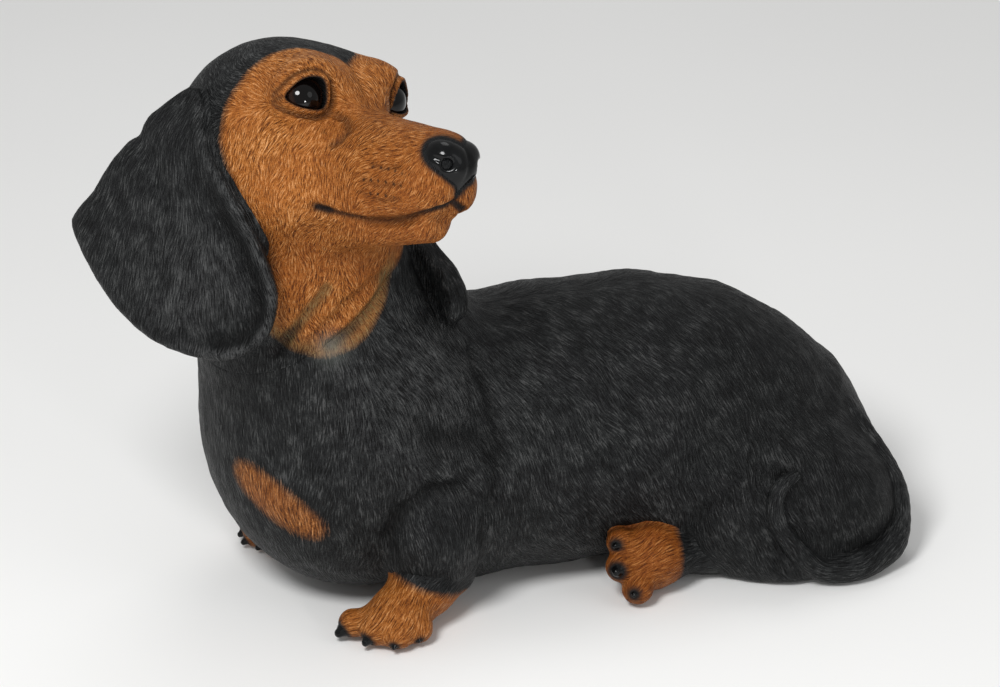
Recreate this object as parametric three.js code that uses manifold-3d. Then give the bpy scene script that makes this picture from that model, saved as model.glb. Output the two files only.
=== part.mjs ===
// Lying dachshund figurine: hollow ceramic head and body, luted-on ears, legs and tail,
// glass eyes, a glazed nose and felt pads.  Millimetres, +Z up, chest towards -X.
import * as THREE from 'three';
import { mergeVertices } from 'three/addons/utils/BufferGeometryUtils.js';
import { SimplifyModifier } from 'three/addons/modifiers/SimplifyModifier.js';
import Module from 'manifold-3d';

const WALL = 7;            // thickness of the cast walls
const GAP = 0.3;           // clearance between neighbouring pieces
const EYE_RADIUS = 12;
const PAD_RADIUS = 13;     // felt pads
const PAD_THICKNESS = 2;
const PAD_STANDS_OUT = 0.8;
const PEG_RADIUS = 5;      // tenons of ears, legs and tail
const VENT_RADIUS = 11;    // drain hole of the casting
const BODY_FACETS = 2200;  // triangles of each skin before it is cut and joined
const HEAD_FACETS = 3200;
const CORE_FACETS = 1000;
const EAR_FACETS = 1300;
const FOOT_FACETS = 900;
const TAIL_FACETS = 1000;
const CELL = 4;            // grid of a skin, before it is reduced
const EAR_CELL = 3.2;
const COARSE_CELL = 6;
const FINE_CELL = 2.6;

const V = (x, y, z) => new THREE.Vector3(x, y, z);
const wasm = await Module();
wasm.setup();

// ---------------------------------------------------------------- distance tools
// Every form below is a function of a point: below zero inside the clay, above zero outside.
function blend(a, b, k) {
  const h = Math.max(k - Math.abs(a - b), 0) / k;
  return Math.min(a, b) - h * h * k * 0.25;
}

function carve(a, b, k) {
  return -blend(-a, -b, k);
}

function egg(p, x, y, z, rx, ry, rz) {
  const dx = p.x - x;
  const dy = p.y - y;
  const dz = p.z - z;
  const near = Math.hypot(dx / rx, dy / ry, dz / rz);
  const slope = Math.hypot(dx / (rx * rx), dy / (ry * ry), dz / (rz * rz));
  return near * (near - 1) / Math.max(slope, 1e-9);
}

// A round bar from a to b, each given as [x, y, z, radius].
function bone(p, a, b) {
  const ex = b[0] - a[0];
  const ey = b[1] - a[1];
  const ez = b[2] - a[2];
  const wx = p.x - a[0];
  const wy = p.y - a[1];
  const wz = p.z - a[2];
  const t = THREE.MathUtils.clamp((wx * ex + wy * ey + wz * ez) / (ex * ex + ey * ey + ez * ez), 0, 1);
  return Math.hypot(wx - t * ex, wy - t * ey, wz - t * ez) - (a[3] + (b[3] - a[3]) * t);
}

function limb(p, points, k) {
  let d = Infinity;
  for (let i = 1; i < points.length; i += 1) {
    const next = bone(p, points[i - 1], points[i]);
    d = i === 1 ? next : blend(d, next, k);
  }
  return d;
}

// Signed distance to a closed outline in a plane.
function inOutline(x, y, outline) {
  let best = Infinity;
  let sign = 1;
  for (let i = 0, j = outline.length - 1; i < outline.length; j = i, i += 1) {
    const a = outline[i];
    const b = outline[j];
    const ex = b.x - a.x;
    const ey = b.y - a.y;
    const wx = x - a.x;
    const wy = y - a.y;
    const t = THREE.MathUtils.clamp((wx * ex + wy * ey) / (ex * ex + ey * ey), 0, 1);
    best = Math.min(best, (wx - ex * t) ** 2 + (wy - ey * t) ** 2);
    const above = y >= a.y;
    const below = y < b.y;
    const left = ex * wy > ey * wx;
    if ((above && below && left) || (!above && !below && !left)) sign = -sign;
  }
  return sign * Math.sqrt(best);
}

// ---------------------------------------------------------------- frames
// A frame holds an origin and the forward, left and up directions of a part of the animal.
function frame(origin, forward, up) {
  const f = forward.clone().normalize();
  const l = up.clone().cross(f).normalize();
  const u = f.clone().cross(l);
  return { origin, f, l, u };
}

function into(fr, p) {
  const d = p.clone().sub(fr.origin);
  return V(d.dot(fr.f), d.dot(fr.l), d.dot(fr.u));
}

function outOf(fr, x, y, z) {
  return fr.origin.clone().addScaledVector(fr.f, x).addScaledVector(fr.l, y).addScaledVector(fr.u, z);
}

function foldY(p, middle = 0) {
  return V(p.x, Math.abs(p.y - middle), p.z);
}

const HEAD = frame(V(-32.7, -5, 242.5), V(0.4455, -0.844, 0.2988), V(0.1445, 0.397, 0.906));
const EYE = V(39.5, 26.5, 18.9);
const EYE_LOOK = V(0.94, 0.34, 0.1);
const LIDS = [                       // the opening, seen along the eye's own axis: inwards, up
  [-10.4, -1.2], [-6.4, 4.2], [-2.2, 7.2], [2.6, 8], [6.6, 6.4],
  [8.6, 1.6], [9, -4.4], [6.8, -6.4], [1.6, -7], [-5.8, -5.2],
];

// ---------------------------------------------------------------- the forms
function headForm(q) {
  const m = foldY(q);
  let d = egg(q, -2, 0, 0, 56, 49, 51);                                     // skull
  d = blend(d, egg(m, 28, 10, 14, 31, 22, 27), 14);                         // forehead
  d = blend(d, bone(q, [48, 0, -14, 28], [102, 0, -19, 18.5]), 14);         // muzzle
  d = blend(d, bone(q, [70, 0, -7, 16], [112, 0, -11, 12.5]), 10);          // bridge
  d = blend(d, egg(m, 20, 22, -22, 38, 22, 26), 14);                        // cheeks
  d = blend(d, egg(m, 96, 8, -25, 24, 12, 13), 6);                          // upper lips
  d = blend(d, bone(m, [58, 14, -28, 13.5], [107, 7, -26.5, 10]), 7);
  d = blend(d, bone(m, [36, 6, -37, 15.5], [99, 2.5, -41.5, 8.8]), 5);      // lower jaw
  d = blend(d, egg(m, 43, 21, 28, 13, 12, 10), 9);                          // brows
  d = carve(d, -egg(m, 64, 27, 14, 14, 12, 10), 8);                         // inner corners
  return blend(d, m.distanceTo(EYE) - EYE_RADIUS - 2.4, 6);                 // eyelids
}

function noseForm(q) {
  const m = foldY(q);
  const pad = egg(m, 114.5, 3, -13, 12.6, 10.2, 10.8);
  const d = blend(pad, egg(m, 115, 7.6, -10, 9.5, 6.8, 7.6), 3);            // nostril wings
  return blend(d, bone(q, [117.5, 0, -18, 7.5], [117, 0, -25.5, 3]), 6);
}

const HIND_MIDDLE = -6;              // the haunches mirror each other about this Y
const NECK = [[0, 0, 100, 66], [-20, -4, 150, 56], [-27, -10, 188, 49], [-32, -10, 222, 44]];
const SPINE = [
  [4, 0, 70, 69], [50, 0, 68, 70], [105, -1, 68.5, 70], [150, -3, 68.5, 69], [182, -5, 64.5, 64],
  [208, -8, 56, 55], [230, -10, 46, 44], [246, -12, 34, 32], [256, -14, 28, 24],
];

function trunkForm(p) {
  let d = egg(p, 2, 2, 90, 75, 68, 82);                                     // chest
  d = blend(d, limb(p, SPINE, 10), 10);
  const rear = foldY(p, HIND_MIDDLE);
  d = blend(d, egg(rear, 200, 42, 34, 56, 44, 45), 18);                     // haunches
  d = blend(d, egg(p, 235, -48, 28, 39, 47, 36), 18);                       // rump inside the tail
  d = blend(d, egg(p, 211, -72, 10, 28, 22, 14), 12);                       // thigh on the ground
  const side = foldY(p);
  d = blend(d, egg(side, 12, 34, 92, 42, 40, 56), 8);                       // shoulders
  return blend(d, egg(side, 25, 50, 47, 31, 31, 33), 3);                    // upper arms
}

function bodyForm(p) {
  const d = blend(headForm(into(HEAD, p)), limb(p, NECK, 10), 16);
  return carve(blend(d, trunkForm(p), 20), -p.z, 2);
}

// A chain of [x, y, z, radius], with points added on a smooth curve between them.
function smooth(points) {
  const line = new THREE.CatmullRomCurve3(points.map(([x, y, z]) => V(x, y, z)));
  const radii = new THREE.SplineCurve(points.map((p, i) => new THREE.Vector2(i, p[3])));
  const count = (points.length - 1) * 2;
  return Array.from({ length: count + 1 }, (_, i) => [
    ...line.getPoint(i / count).toArray(), radii.getPoint(i / count).y,
  ]);
}

const TAIL = smooth([
  [252, -36, 66, 9], [260.5, -52, 50.5, 8.9], [267, -64, 36.5, 8.5], [269, -70.5, 23, 8.1],
  [262, -84, 13, 8], [252, -89.5, 9, 8], [240, -94.5, 8, 7.8], [229, -95, 7.6, 7.4],
  [221, -93.5, 8, 6.6], [213, -93.5, 12.5, 5.9], [203.5, -94.5, 23, 5.2], [196.5, -93.5, 34, 4.8],
  [193.5, -92, 44, 4.5], [194.5, -90, 52, 4.1], [199.5, -88, 57.5, 3.7], [206, -86.5, 59.5, 3],
]);
const tailForm = (p) => carve(limb(p, TAIL, 0.6), -p.z, 2);

// A foot: its palm, toes [x, y, z, radius], the leg it grows from, and for each toe a claw:
// the way it points, its thickness and its length.
function foot({ palm, radii, toes, claws, leg, mirror }) {
  return (point) => {
    const p = mirror === undefined ? point : V(point.x, 2 * mirror - point.y, point.z);
    let d = blend(egg(p, ...palm, ...radii), limb(p, leg, 8), 8);
    toes.forEach(([x, y, z, radius], i) => {
      const start = V(...palm).lerp(V(x, y, z), 0.35).toArray();
      d = blend(d, bone(p, [...start, radius * 0.95], [x, y, z, radius]), 4.5);
      const [dx, dy, dz, thick, long] = claws[i];
      const way = V(dx, dy, dz).normalize();
      const base = V(x, y, z).addScaledVector(way, radius - thick * 0.45);
      const tip = base.clone().addScaledVector(way, long).toArray();
      d = blend(d, bone(p, [...base.toArray(), thick], [...tip, thick * 0.55]), 0.6);
    });
    return carve(d, 0.2 - p.z, 2);
  };
}

const HIND_FOOT = {
  palm: [135, -68, 18.5],
  radii: [19.5, 17, 18],
  toes: [[119, -70, 30, 7.2], [117, -76, 19.5, 7.8], [123.5, -82.5, 8.8, 7.8], [125, -60, 10, 7]],
  claws: [
    [-0.65, -0.75, 0.15, 2.9, 1.4], [-0.6, -0.8, 0.1, 4, 2.4],
    [-0.55, -0.8, 0.1, 2.9, 1.2], [-0.9, 0.3, -0.2, 2.6, 1.6],
  ],
  leg: [[180, -60, 18, 16], [170, -58, 16, 15], [150, -62, 17, 14.5]],
};
const FEET = {
  foreleg_left: foot({
    palm: [-2, -75, 11],
    radii: [17, 15, 12],
    toes: [[-21.5, -67, 8.4, 7.2], [-13.5, -78, 8.2, 7.2], [-4, -85.5, 8, 7.2], [7.5, -83, 8, 7]],
    claws: [
      [-0.85, -0.1, -0.45, 4.3, 3], [-0.75, -0.45, -0.45, 3.4, 2.6],
      [-0.55, -0.7, -0.5, 2.2, 1.4], [-0.3, -0.85, -0.5, 2, 1],
    ],
    leg: [[30, -52, 24, 18], [17, -62, 20, 15], [4, -70, 15, 12.5]],
  }),
  foreleg_right: foot({
    palm: [-18.5, 47, 10.5],
    radii: [19, 16, 11],
    toes: [[-31.5, 35, 7.6, 7], [-36.5, 43, 7.8, 7.2], [-35.5, 52, 7.8, 7.2], [-30.5, 60, 7.6, 7]],
    claws: Array(4).fill([-0.85, 0, -0.5, 2.8, 2.4]),
    leg: [[32, 46, 22, 18], [16, 48, 18, 15.5], [-8, 47, 14, 12]],
  }),
  hind_foot_left: foot(HIND_FOOT),
  hind_foot_right: foot({ ...HIND_FOOT, mirror: HIND_MIDDLE }),
};

// Ears: a thick flap whose outline lies in a plane and whose face bends out of it.
function ring(points) {
  const curve = new THREE.CatmullRomCurve3(points.map(([x, y]) => V(x, y, 0)), true, 'catmullrom', 0.5);
  return curve.getPoints(points.length * 2).slice(0, -1);
}

const EAR_RIGHT_OUTLINE = ring([
  [-40, 24], [-51, 21], [-58.5, 16], [-65, 11], [-69, 3], [-74, 0.5], [-85, -11.5], [-92.5, -23],
  [-101, -32], [-104, -40], [-96.5, -57], [-88, -71], [-77, -84], [-61, -96.5], [-40, -104], [-24, -105],
  [-9, -98], [-2, -85], [-2, -68], [-13, -43], [-25, -23], [-35, -5],
]);
const EAR_LEFT_OUTLINE = ring([
  [2, -12], [14, 8], [22, 28], [33, 49], [47, 64], [52, 76], [47, 88], [37, 92],
  [24, 92], [8, 90], [-10, 84], [-28, 70], [-40, 50], [-43, 30], [-36, 8], [-22, -10],
]);

function flap(x, y, t, outline) {
  const rim = 3.4;
  const a = inOutline(x, y, outline) + rim;
  const b = Math.abs(t) - 6.5 + rim;
  return Math.hypot(Math.max(a, 0), Math.max(b, 0)) + Math.min(Math.max(a, b), 0) - rim;
}

const EAR_RIGHT = frame(HEAD.origin, V(0.9397, -0.342, 0), V(-0.31, -0.852, 0.4226));
function earRightForm(p) {
  const q = into(EAR_RIGHT, p);
  const height = 36 + 0.55 * (q.x + 20) - 0.0028 * (q.x + 40) ** 2 + 0.02 * q.y;
  const across = (q.x + 22) * 0.876 + (q.y + 20) * 0.483;                   // drapes over the cheek
  const along = (q.x + 22) * 0.483 - (q.y + 20) * 0.876;
  const drape = 13 * Math.exp(-(((across - 3) / 14) ** 2) - (along / 30) ** 2);
  return flap(q.x, q.y, q.z - height - drape, EAR_RIGHT_OUTLINE);
}

const SPLAY = THREE.MathUtils.degToRad(20);
const EAR_LEFT = {
  origin: outOf(HEAD, 0, 54, 0).addScaledVector(EAR_RIGHT.f, -4),
  f: HEAD.f,
  l: HEAD.l.clone().multiplyScalar(Math.sin(SPLAY)).addScaledVector(HEAD.u, -Math.cos(SPLAY)),
  u: HEAD.l.clone().multiplyScalar(Math.cos(SPLAY)).addScaledVector(HEAD.u, Math.sin(SPLAY)),
};
function earLeftForm(p) {
  const q = into(EAR_LEFT, p);
  const ridge = 1.5 * Math.exp(-(((q.x - 0.38 * q.y - 2) / 5) ** 2));
  return flap(q.x, q.y, q.z + 0.0035 * (q.x - 10) ** 2 - ridge, EAR_LEFT_OUTLINE);
}

// ---------------------------------------------------------------- skin of a form
// Surface nets: one vertex in every grid cell the surface passes through, then pulled on to it.
function skin(form, low, high, cell) {
  const n = ['x', 'y', 'z'].map((k) => Math.ceil((high[k] - low[k]) / cell) + 1);
  const at = (i, j, k) => (i * n[1] + j) * n[2] + k;
  const grid = new Float64Array(n[0] * n[1] * n[2]);
  for (let i = 0; i < n[0]; i += 1) {
    for (let j = 0; j < n[1]; j += 1) {
      for (let k = 0; k < n[2]; k += 1) {
        grid[at(i, j, k)] = form(V(low.x + i * cell, low.y + j * cell, low.z + k * cell));
      }
    }
  }
  const vertexOf = new Map();
  const points = [];
  const steps = [[1, 0, 0], [0, 1, 0], [0, 0, 1]];
  for (let i = 0; i < n[0] - 1; i += 1) {
    for (let j = 0; j < n[1] - 1; j += 1) {
      for (let k = 0; k < n[2] - 1; k += 1) {
        const sum = V(0, 0, 0);
        let count = 0;
        for (let corner = 0; corner < 8; corner += 1) {
          const c = [corner & 1, (corner >> 1) & 1, (corner >> 2) & 1];
          const a = grid[at(i + c[0], j + c[1], k + c[2])];
          for (let axis = 0; axis < 3; axis += 1) {
            if (c[axis]) continue;
            const s = steps[axis];
            const b = grid[at(i + c[0] + s[0], j + c[1] + s[1], k + c[2] + s[2])];
            if ((a < 0) === (b < 0)) continue;
            const t = a / (a - b);
            sum.add(V(i + c[0] + s[0] * t, j + c[1] + s[1] * t, k + c[2] + s[2] * t));
            count += 1;
          }
        }
        if (count === 0) continue;
        vertexOf.set(at(i, j, k), points.length);
        points.push(settle(form, low.clone().addScaledVector(sum, cell / count), cell));
      }
    }
  }
  const faces = [];
  for (let axis = 0; axis < 3; axis += 1) {
    const u = steps[(axis + 1) % 3];
    const v = steps[(axis + 2) % 3];
    const s = steps[axis];
    for (let i = 1; i < n[0] - 1; i += 1) {
      for (let j = 1; j < n[1] - 1; j += 1) {
        for (let k = 1; k < n[2] - 1; k += 1) {
          const a = grid[at(i, j, k)] < 0;
          const b = grid[at(i + s[0], j + s[1], k + s[2])] < 0;
          if (a === b) continue;
          const q = [[1, 1], [0, 1], [0, 0], [1, 0]].map(([du, dv]) => vertexOf.get(at(
            i - du * u[0] - dv * v[0], j - du * u[1] - dv * v[1], k - du * u[2] - dv * v[2],
          )));
          if (!a) q.reverse();
          const short = points[q[0]].distanceTo(points[q[2]]) < points[q[1]].distanceTo(points[q[3]]);
          const [e, f, g, h] = short ? q : [q[1], q[2], q[3], q[0]];
          faces.push(e, f, g, e, g, h);
        }
      }
    }
  }
  return { points, faces };
}

function slopeOf(form, p) {
  const e = 0.3;
  const corners = [V(1, -1, -1), V(-1, -1, 1), V(-1, 1, -1), V(1, 1, 1)];
  const g = V(0, 0, 0);
  corners.forEach((c) => g.addScaledVector(c, form(p.clone().addScaledVector(c, e))));
  return g.multiplyScalar(1 / (4 * e));
}

function settle(form, start, cell) {
  const p = start.clone();
  for (let round = 0; round < 3; round += 1) {
    const g = slopeOf(form, p);
    const step = THREE.MathUtils.clamp(form(p) / Math.max(g.lengthSq(), 0.2), -cell / 3, cell / 3);
    p.addScaledVector(g, -step);
  }
  return p;
}

// ---------------------------------------------------------------- solids
function solidOf(geometry) {
  const g = geometry.clone();
  g.deleteAttribute('normal');
  g.deleteAttribute('uv');
  const merged = mergeVertices(g, 1e-4);
  const index = merged.index.array;
  return new wasm.Manifold(new wasm.Mesh({
    numProp: 3,
    vertProperties: new Float32Array(merged.attributes.position.array),
    triVerts: new Uint32Array(index),
  }));
}

// The skin of a form as two solids: the piece, and a cutter that is larger by the clearance.
// The skin is made on a fine grid and then reduced to `facets` triangles where it is flattest.
// A grid on which two sheets of skin share a cell gives no closed skin: a finer one is tried.
async function cast(form, box, cell, facets) {
  for (let size = cell; size > cell / 2; size *= 0.97) {
    const { points, faces } = skin(form, V(...box[0]), V(...box[1]), size);
    const fine = new THREE.BufferGeometry().setFromPoints(points);
    fine.setIndex(faces);
    try {
      solidOf(fine);
      const surplus = points.length - facets / 2;
      const geometry = surplus > 0 ? await new SimplifyModifier().modify(fine, surplus) : fine;
      return { solid: solidOf(geometry), cutter: solidOf(grown(geometry, form, GAP)) };
    } catch (error) {
      if (error.code !== 'NotManifold') throw error;
    }
  }
  throw new Error('no grid gives a closed skin');
}

function grown(geometry, form, distance) {
  const larger = geometry.clone();
  const spots = larger.attributes.position;
  for (let i = 0; i < spots.count; i += 1) {
    const p = V(spots.getX(i), spots.getY(i), spots.getZ(i));
    p.addScaledVector(slopeOf(form, p).normalize(), distance);
    spots.setXYZ(i, p.x, p.y, p.z);
  }
  return larger;
}

// A round bar between two points, used for tenons and for the holes that take them.
function bar(from, to, radius, sides = 14) {
  const geometry = new THREE.CylinderGeometry(radius, radius, from.distanceTo(to), sides);
  const turn = new THREE.Quaternion().setFromUnitVectors(V(0, 1, 0), to.clone().sub(from).normalize());
  geometry.applyQuaternion(turn);
  geometry.translate(...from.clone().add(to).multiplyScalar(0.5).toArray());
  return solidOf(geometry);
}

function disc(x, y, bottom, top, radius) {
  return bar(V(x, y, bottom), V(x, y, top), radius, 24);
}

// A round bead along a curve.  TubeGeometry is open at both ends, so a fan shuts each.
function tube(points, radius) {
  const sides = 5;
  const segments = points.length * 3;
  const geometry = new THREE.TubeGeometry(new THREE.CatmullRomCurve3(points), segments, radius, sides);
  const index = Array.from(geometry.index.array);
  const last = segments * (sides + 1);
  for (let i = 1; i < sides - 1; i += 1) {
    index.push(0, i, i + 1);
    index.push(last, last + i + 1, last + i);
  }
  geometry.setIndex(index);
  return solidOf(geometry);
}

// ---------------------------------------------------------------- the castings
// The head leaves the body along a fold of the neck.
const SEAM_POINT = V(-10, -56, 173);
const SEAM_NORMAL = V(-0.555, -0.204, 0.807).normalize();
const seam = (p) => SEAM_NORMAL.dot(p.clone().sub(SEAM_POINT));

function keepAbove(solid, height) {
  return solid.trimByPlane(SEAM_NORMAL.toArray(), SEAM_NORMAL.dot(SEAM_POINT) + height);
}

function keepBelow(solid, height) {
  const down = SEAM_NORMAL.clone().negate();
  return solid.trimByPlane(down.toArray(), -(SEAM_NORMAL.dot(SEAM_POINT) + height));
}

const HEAD_BOX = [[-110, -155, 95], [80, 85, 315]];
const BODY_BOX = [[-100, -110, -12], [300, 100, 240]];
const NECK_BOX = [[-110, -100, 90], [70, 80, 250]];
const headBlock = (p) => Math.max(bodyForm(p), -seam(p) - 12);
const bodyBlock = (p) => Math.max(bodyForm(p), seam(p) - 12);

// The space inside the castings follows the spine, the neck and the skull.
const thin = (points) => points.map(([x, y, z, r]) => [x, y, z, r - WALL]);
function hollow(p) {
  const q = into(HEAD, p);
  const eyes = foldY(q).distanceTo(EYE);
  const skull = blend(egg(q, -2, 0, 0, 49, 42, 44), bone(q, [48, 0, -14, 21], [88, 0, -17, 12]), 14);
  const haunch = egg(foldY(p, HIND_MIDDLE), 200, 42, 38, 48, 36, 37);
  const shoulder = egg(foldY(p), 12, 34, 92, 34, 32, 48);
  const spine = blend(blend(limb(p, thin(SPINE), 12), haunch, 16), shoulder, 12);
  const trunk = blend(limb(p, thin(NECK), 12), spine, 20);
  return carve(Math.max(blend(skull, trunk, 20), EYE_RADIUS + 4 - eyes), WALL - p.z, 6);
}

const neckPlug = (depth) => (p) => Math.max(hollow(p) + depth, Math.abs(seam(p)) - 22);

const headCast = await cast(headBlock, HEAD_BOX, CELL, HEAD_FACETS);
const bodyCast = await cast(bodyBlock, BODY_BOX, COARSE_CELL, BODY_FACETS);
const core = await cast(hollow, [[-110, -155, -4], [300, 100, 315]], COARSE_CELL + 2, CORE_FACETS);
let head = keepAbove(headCast.solid, GAP / 2).subtract(core.solid);
let torso = keepBelow(bodyCast.solid, -GAP / 2).subtract(core.solid);

// A spigot on the neck of the body reaches up inside the head.
async function plug(depth, low, high) {
  const block = await cast(neckPlug(depth), NECK_BOX, COARSE_CELL, 300);
  return keepBelow(keepAbove(block.solid, low), high);
}

const spigot = await plug(2.5, -12, 10);
const root = await plug(-3, -12, -1);
const bore = await plug(7, -30, 30);
torso = torso.add(spigot.add(root).subtract(bore));
torso = torso.subtract(disc(110, 0, -5, 16, VENT_RADIUS));

// ---------------------------------------------------------------- eyes and nose
const sphere = new THREE.SphereGeometry(EYE_RADIUS, 20, 12);
const socket = new THREE.SphereGeometry(EYE_RADIUS + GAP, 20, 12);

// The opening between the lids, pushed through them along the eye's axis.
function lidOpening(side) {
  const look = EYE_LOOK.clone().multiply(V(1, side, 1)).normalize();
  const across = V(0, 0, 1).cross(look).normalize();
  const outline = new THREE.Shape(LIDS.map(([inwards, up]) => new THREE.Vector2(-side * inwards, up)));
  const geometry = new THREE.ExtrudeGeometry(outline, { depth: 20, bevelEnabled: false });
  geometry.translate(0, 0, 4);
  geometry.applyMatrix4(new THREE.Matrix4().makeBasis(across, look.clone().cross(across), look));
  geometry.translate(EYE.x, EYE.y * side, EYE.z);
  return geometry;
}

const headPlace = new THREE.Matrix4().makeBasis(HEAD.f, HEAD.l, HEAD.u).setPosition(HEAD.origin);
const onHead = (geometry) => solidOf(geometry.clone().applyMatrix4(headPlace));
const eyes = {};
for (const [side, name] of [[1, 'eye_left'], [-1, 'eye_right']]) {
  const shift = new THREE.Matrix4().makeTranslation(EYE.x, EYE.y * side, EYE.z);
  eyes[name] = onHead(sphere.clone().applyMatrix4(shift));
  head = head.subtract(onHead(socket.clone().applyMatrix4(shift)));
  head = head.subtract(onHead(lidOpening(side)));
}

const atNose = (p) => noseForm(into(HEAD, p));
const noseTip = outOf(HEAD, 114, 0, -13);
const noseBox = [noseTip.clone().subScalar(27).toArray(), noseTip.clone().addScalar(27).toArray()];
const noseCast = await cast(atNose, noseBox, FINE_CELL, 300);
let nose = noseCast.solid;
head = head.subtract(noseCast.cutter);
for (const side of [-1, 1]) {
  nose = nose.subtract(bar(outOf(HEAD, 120, 8 * side, -13.4), outOf(HEAD, 134, 13.7 * side, -15), 2.2, 12));
}

// ---------------------------------------------------------------- lines of the modelling
const MOUTH_SIDE = [
  [54.5, 28.6, -34], [60.1, 25.4, -35.4], [67.3, 20.6, -37.8], [76.9, 16.1, -40], [88.8, 13.8, -40.4],
  [99.7, 12.6, -39.4], [110.3, 11.8, -37.1], [114.9, 8.6, -35],
];
const mouthLine = [
  ...MOUTH_SIDE.map(([x, y, z]) => outOf(HEAD, x, -y, z)),
  ...MOUTH_SIDE.map(([x, y, z]) => outOf(HEAD, x, y, z)).reverse(),
].map((p) => settle(bodyForm, p, 8));
head = head.subtract(tube(mouthLine, 1.3));
const throatFold = [V(-42, -58, 153), V(-32, -60, 166), V(-21, -61, 178), V(-6, -57, 186), V(2, -53, 188)];
head = head.subtract(tube(throatFold.map((p) => settle(bodyForm, p, 8)), 1.5));

// ---------------------------------------------------------------- luted-on pieces
// Each is cut to the skin of the castings and held by a round tenon in a blind hole.
function biggest(solid) {
  const parts = solid.decompose();
  return parts.reduce((a, b) => (a.volume() > b.volume() ? a : b));
}

async function fitted(form, box, cell, facets) {
  const piece = await cast(form, box, cell, facets);
  return biggest(piece.solid.subtract(headCast.cutter).subtract(bodyCast.cutter));
}

function tenon(from, radius, extra) {
  const inward = slopeOf(bodyForm, from).normalize().negate();
  const reach = bodyForm(from) + WALL - 2 + extra;
  const end = from.clone().addScaledVector(inward, reach);
  return bar(from, end, radius + extra);
}

const fits = {
  ear_right: await fitted(earRightForm, [[-180, -120, 110], [30, 60, 290]], EAR_CELL, EAR_FACETS),
  ear_left: await fitted(earLeftForm, [[-55, -90, 100], [110, 110, 280]], EAR_CELL, EAR_FACETS),
  tail: await fitted(tailForm, [[180, -130, -8], [310, 0, 90]], FINE_CELL, TAIL_FACETS),
};
for (const [name, form] of Object.entries(FEET)) {
  const near = name.endsWith('left');
  const low = name.startsWith('fore') ? [-70, near ? -115 : 10, -6] : [90, near ? -115 : 10, -6];
  const high = name.startsWith('fore') ? [70, near ? -10 : 100, 60] : [215, near ? -10 : 100, 60];
  fits[name] = await fitted(form, [low, high], FINE_CELL, FOOT_FACETS);
}
const tenonAt = {
  ear_right: outOf(EAR_RIGHT, -50, -2, 22),
  ear_left: outOf(EAR_LEFT, 0, 14, -1),
  tail: V(267.5, -70, 23),
  foreleg_left: V(14, -64, 16),
  foreleg_right: V(6, 50, 14),
  hind_foot_left: V(154, -70, 17),
  hind_foot_right: V(154, 58, 17),
};
for (const [name, from] of Object.entries(tenonAt)) {
  const onHeadSide = name.startsWith('ear');
  const peg = tenon(from, PEG_RADIUS, 0);
  const hole = tenon(from, PEG_RADIUS, GAP);
  fits[name] = fits[name].add(peg);
  if (onHeadSide) head = head.subtract(hole);
  else torso = torso.subtract(hole);
}

// ---------------------------------------------------------------- felt pads
const PADS = {
  felt_front_left: [-6, -72, 7, 'foreleg_left'],
  felt_front_right: [-18, 47, 7, 'foreleg_right'],
  felt_rear_left: [204, -52, 12, 'torso'],
  felt_rear_right: [204, 40, 12, 'torso'],
};
const pads = {};
for (const [name, [x, y, radius, host]] of Object.entries(PADS)) {
  const top = PAD_THICKNESS - PAD_STANDS_OUT;
  const recess = disc(x, y, -5, top + GAP, radius + GAP);
  pads[name] = disc(x, y, -PAD_STANDS_OUT, top, radius);
  if (host === 'torso') torso = torso.subtract(recess);
  else fits[host] = fits[host].subtract(recess);
}

// ---------------------------------------------------------------- the figurine
const LOOKS = {
  black: { color: 0x232527, roughness: 0.75 },
  tan: { color: 0xb5682c, roughness: 0.6 },
  glass: { color: 0x080706, roughness: 0.05 },
  glaze: { color: 0x0c0c0d, roughness: 0.2 },
  felt: { color: 0x2f5a3c, roughness: 1 },
};

const group = new THREE.Group();
group.name = 'dachshund_figurine';

function place(name, solid, look) {
  const { vertProperties, triVerts, numProp } = biggest(solid).getMesh();
  const geometry = new THREE.BufferGeometry();
  const points = [];
  for (let i = 0; i < vertProperties.length; i += numProp) {
    points.push(V(vertProperties[i], vertProperties[i + 1], vertProperties[i + 2]));
  }
  geometry.setFromPoints(points);
  geometry.setIndex(Array.from(triVerts));
  geometry.computeVertexNormals();
  const mesh = new THREE.Mesh(geometry, new THREE.MeshStandardMaterial({ ...LOOKS[look], name }));
  mesh.name = name;
  group.add(mesh);
}

place('torso_shell', torso, 'black');
place('head_shell', head, 'tan');
for (const name of ['ear_right', 'ear_left', 'tail']) place(name, fits[name], 'black');
for (const name of Object.keys(FEET)) place(name, fits[name], 'tan');
for (const name of Object.keys(eyes)) place(name, eyes[name], 'glass');
place('nose', nose, 'glaze');
for (const name of Object.keys(pads)) place(name, pads[name], 'felt');

// The row's origin is the middle of the underside of the whole figurine.
const bounds = new THREE.Box3().setFromObject(group);
const middle = bounds.getCenter(V(0, 0, 0));
group.position.set(-middle.x, -middle.y, -bounds.min.z);

export default group;
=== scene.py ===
"""The looks of the dog figurine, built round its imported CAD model.

Each form is sculpted as a distance field, in millimetres, in the figurine's own frame: the
origin lies on the ground under the chest, +X runs to the rump, -Y to the viewer, +Z up.
A field is skinned as a fine mesh, one for each CAD node, and combed with a lay of hair
that the painted materials follow.
"""

import math

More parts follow.
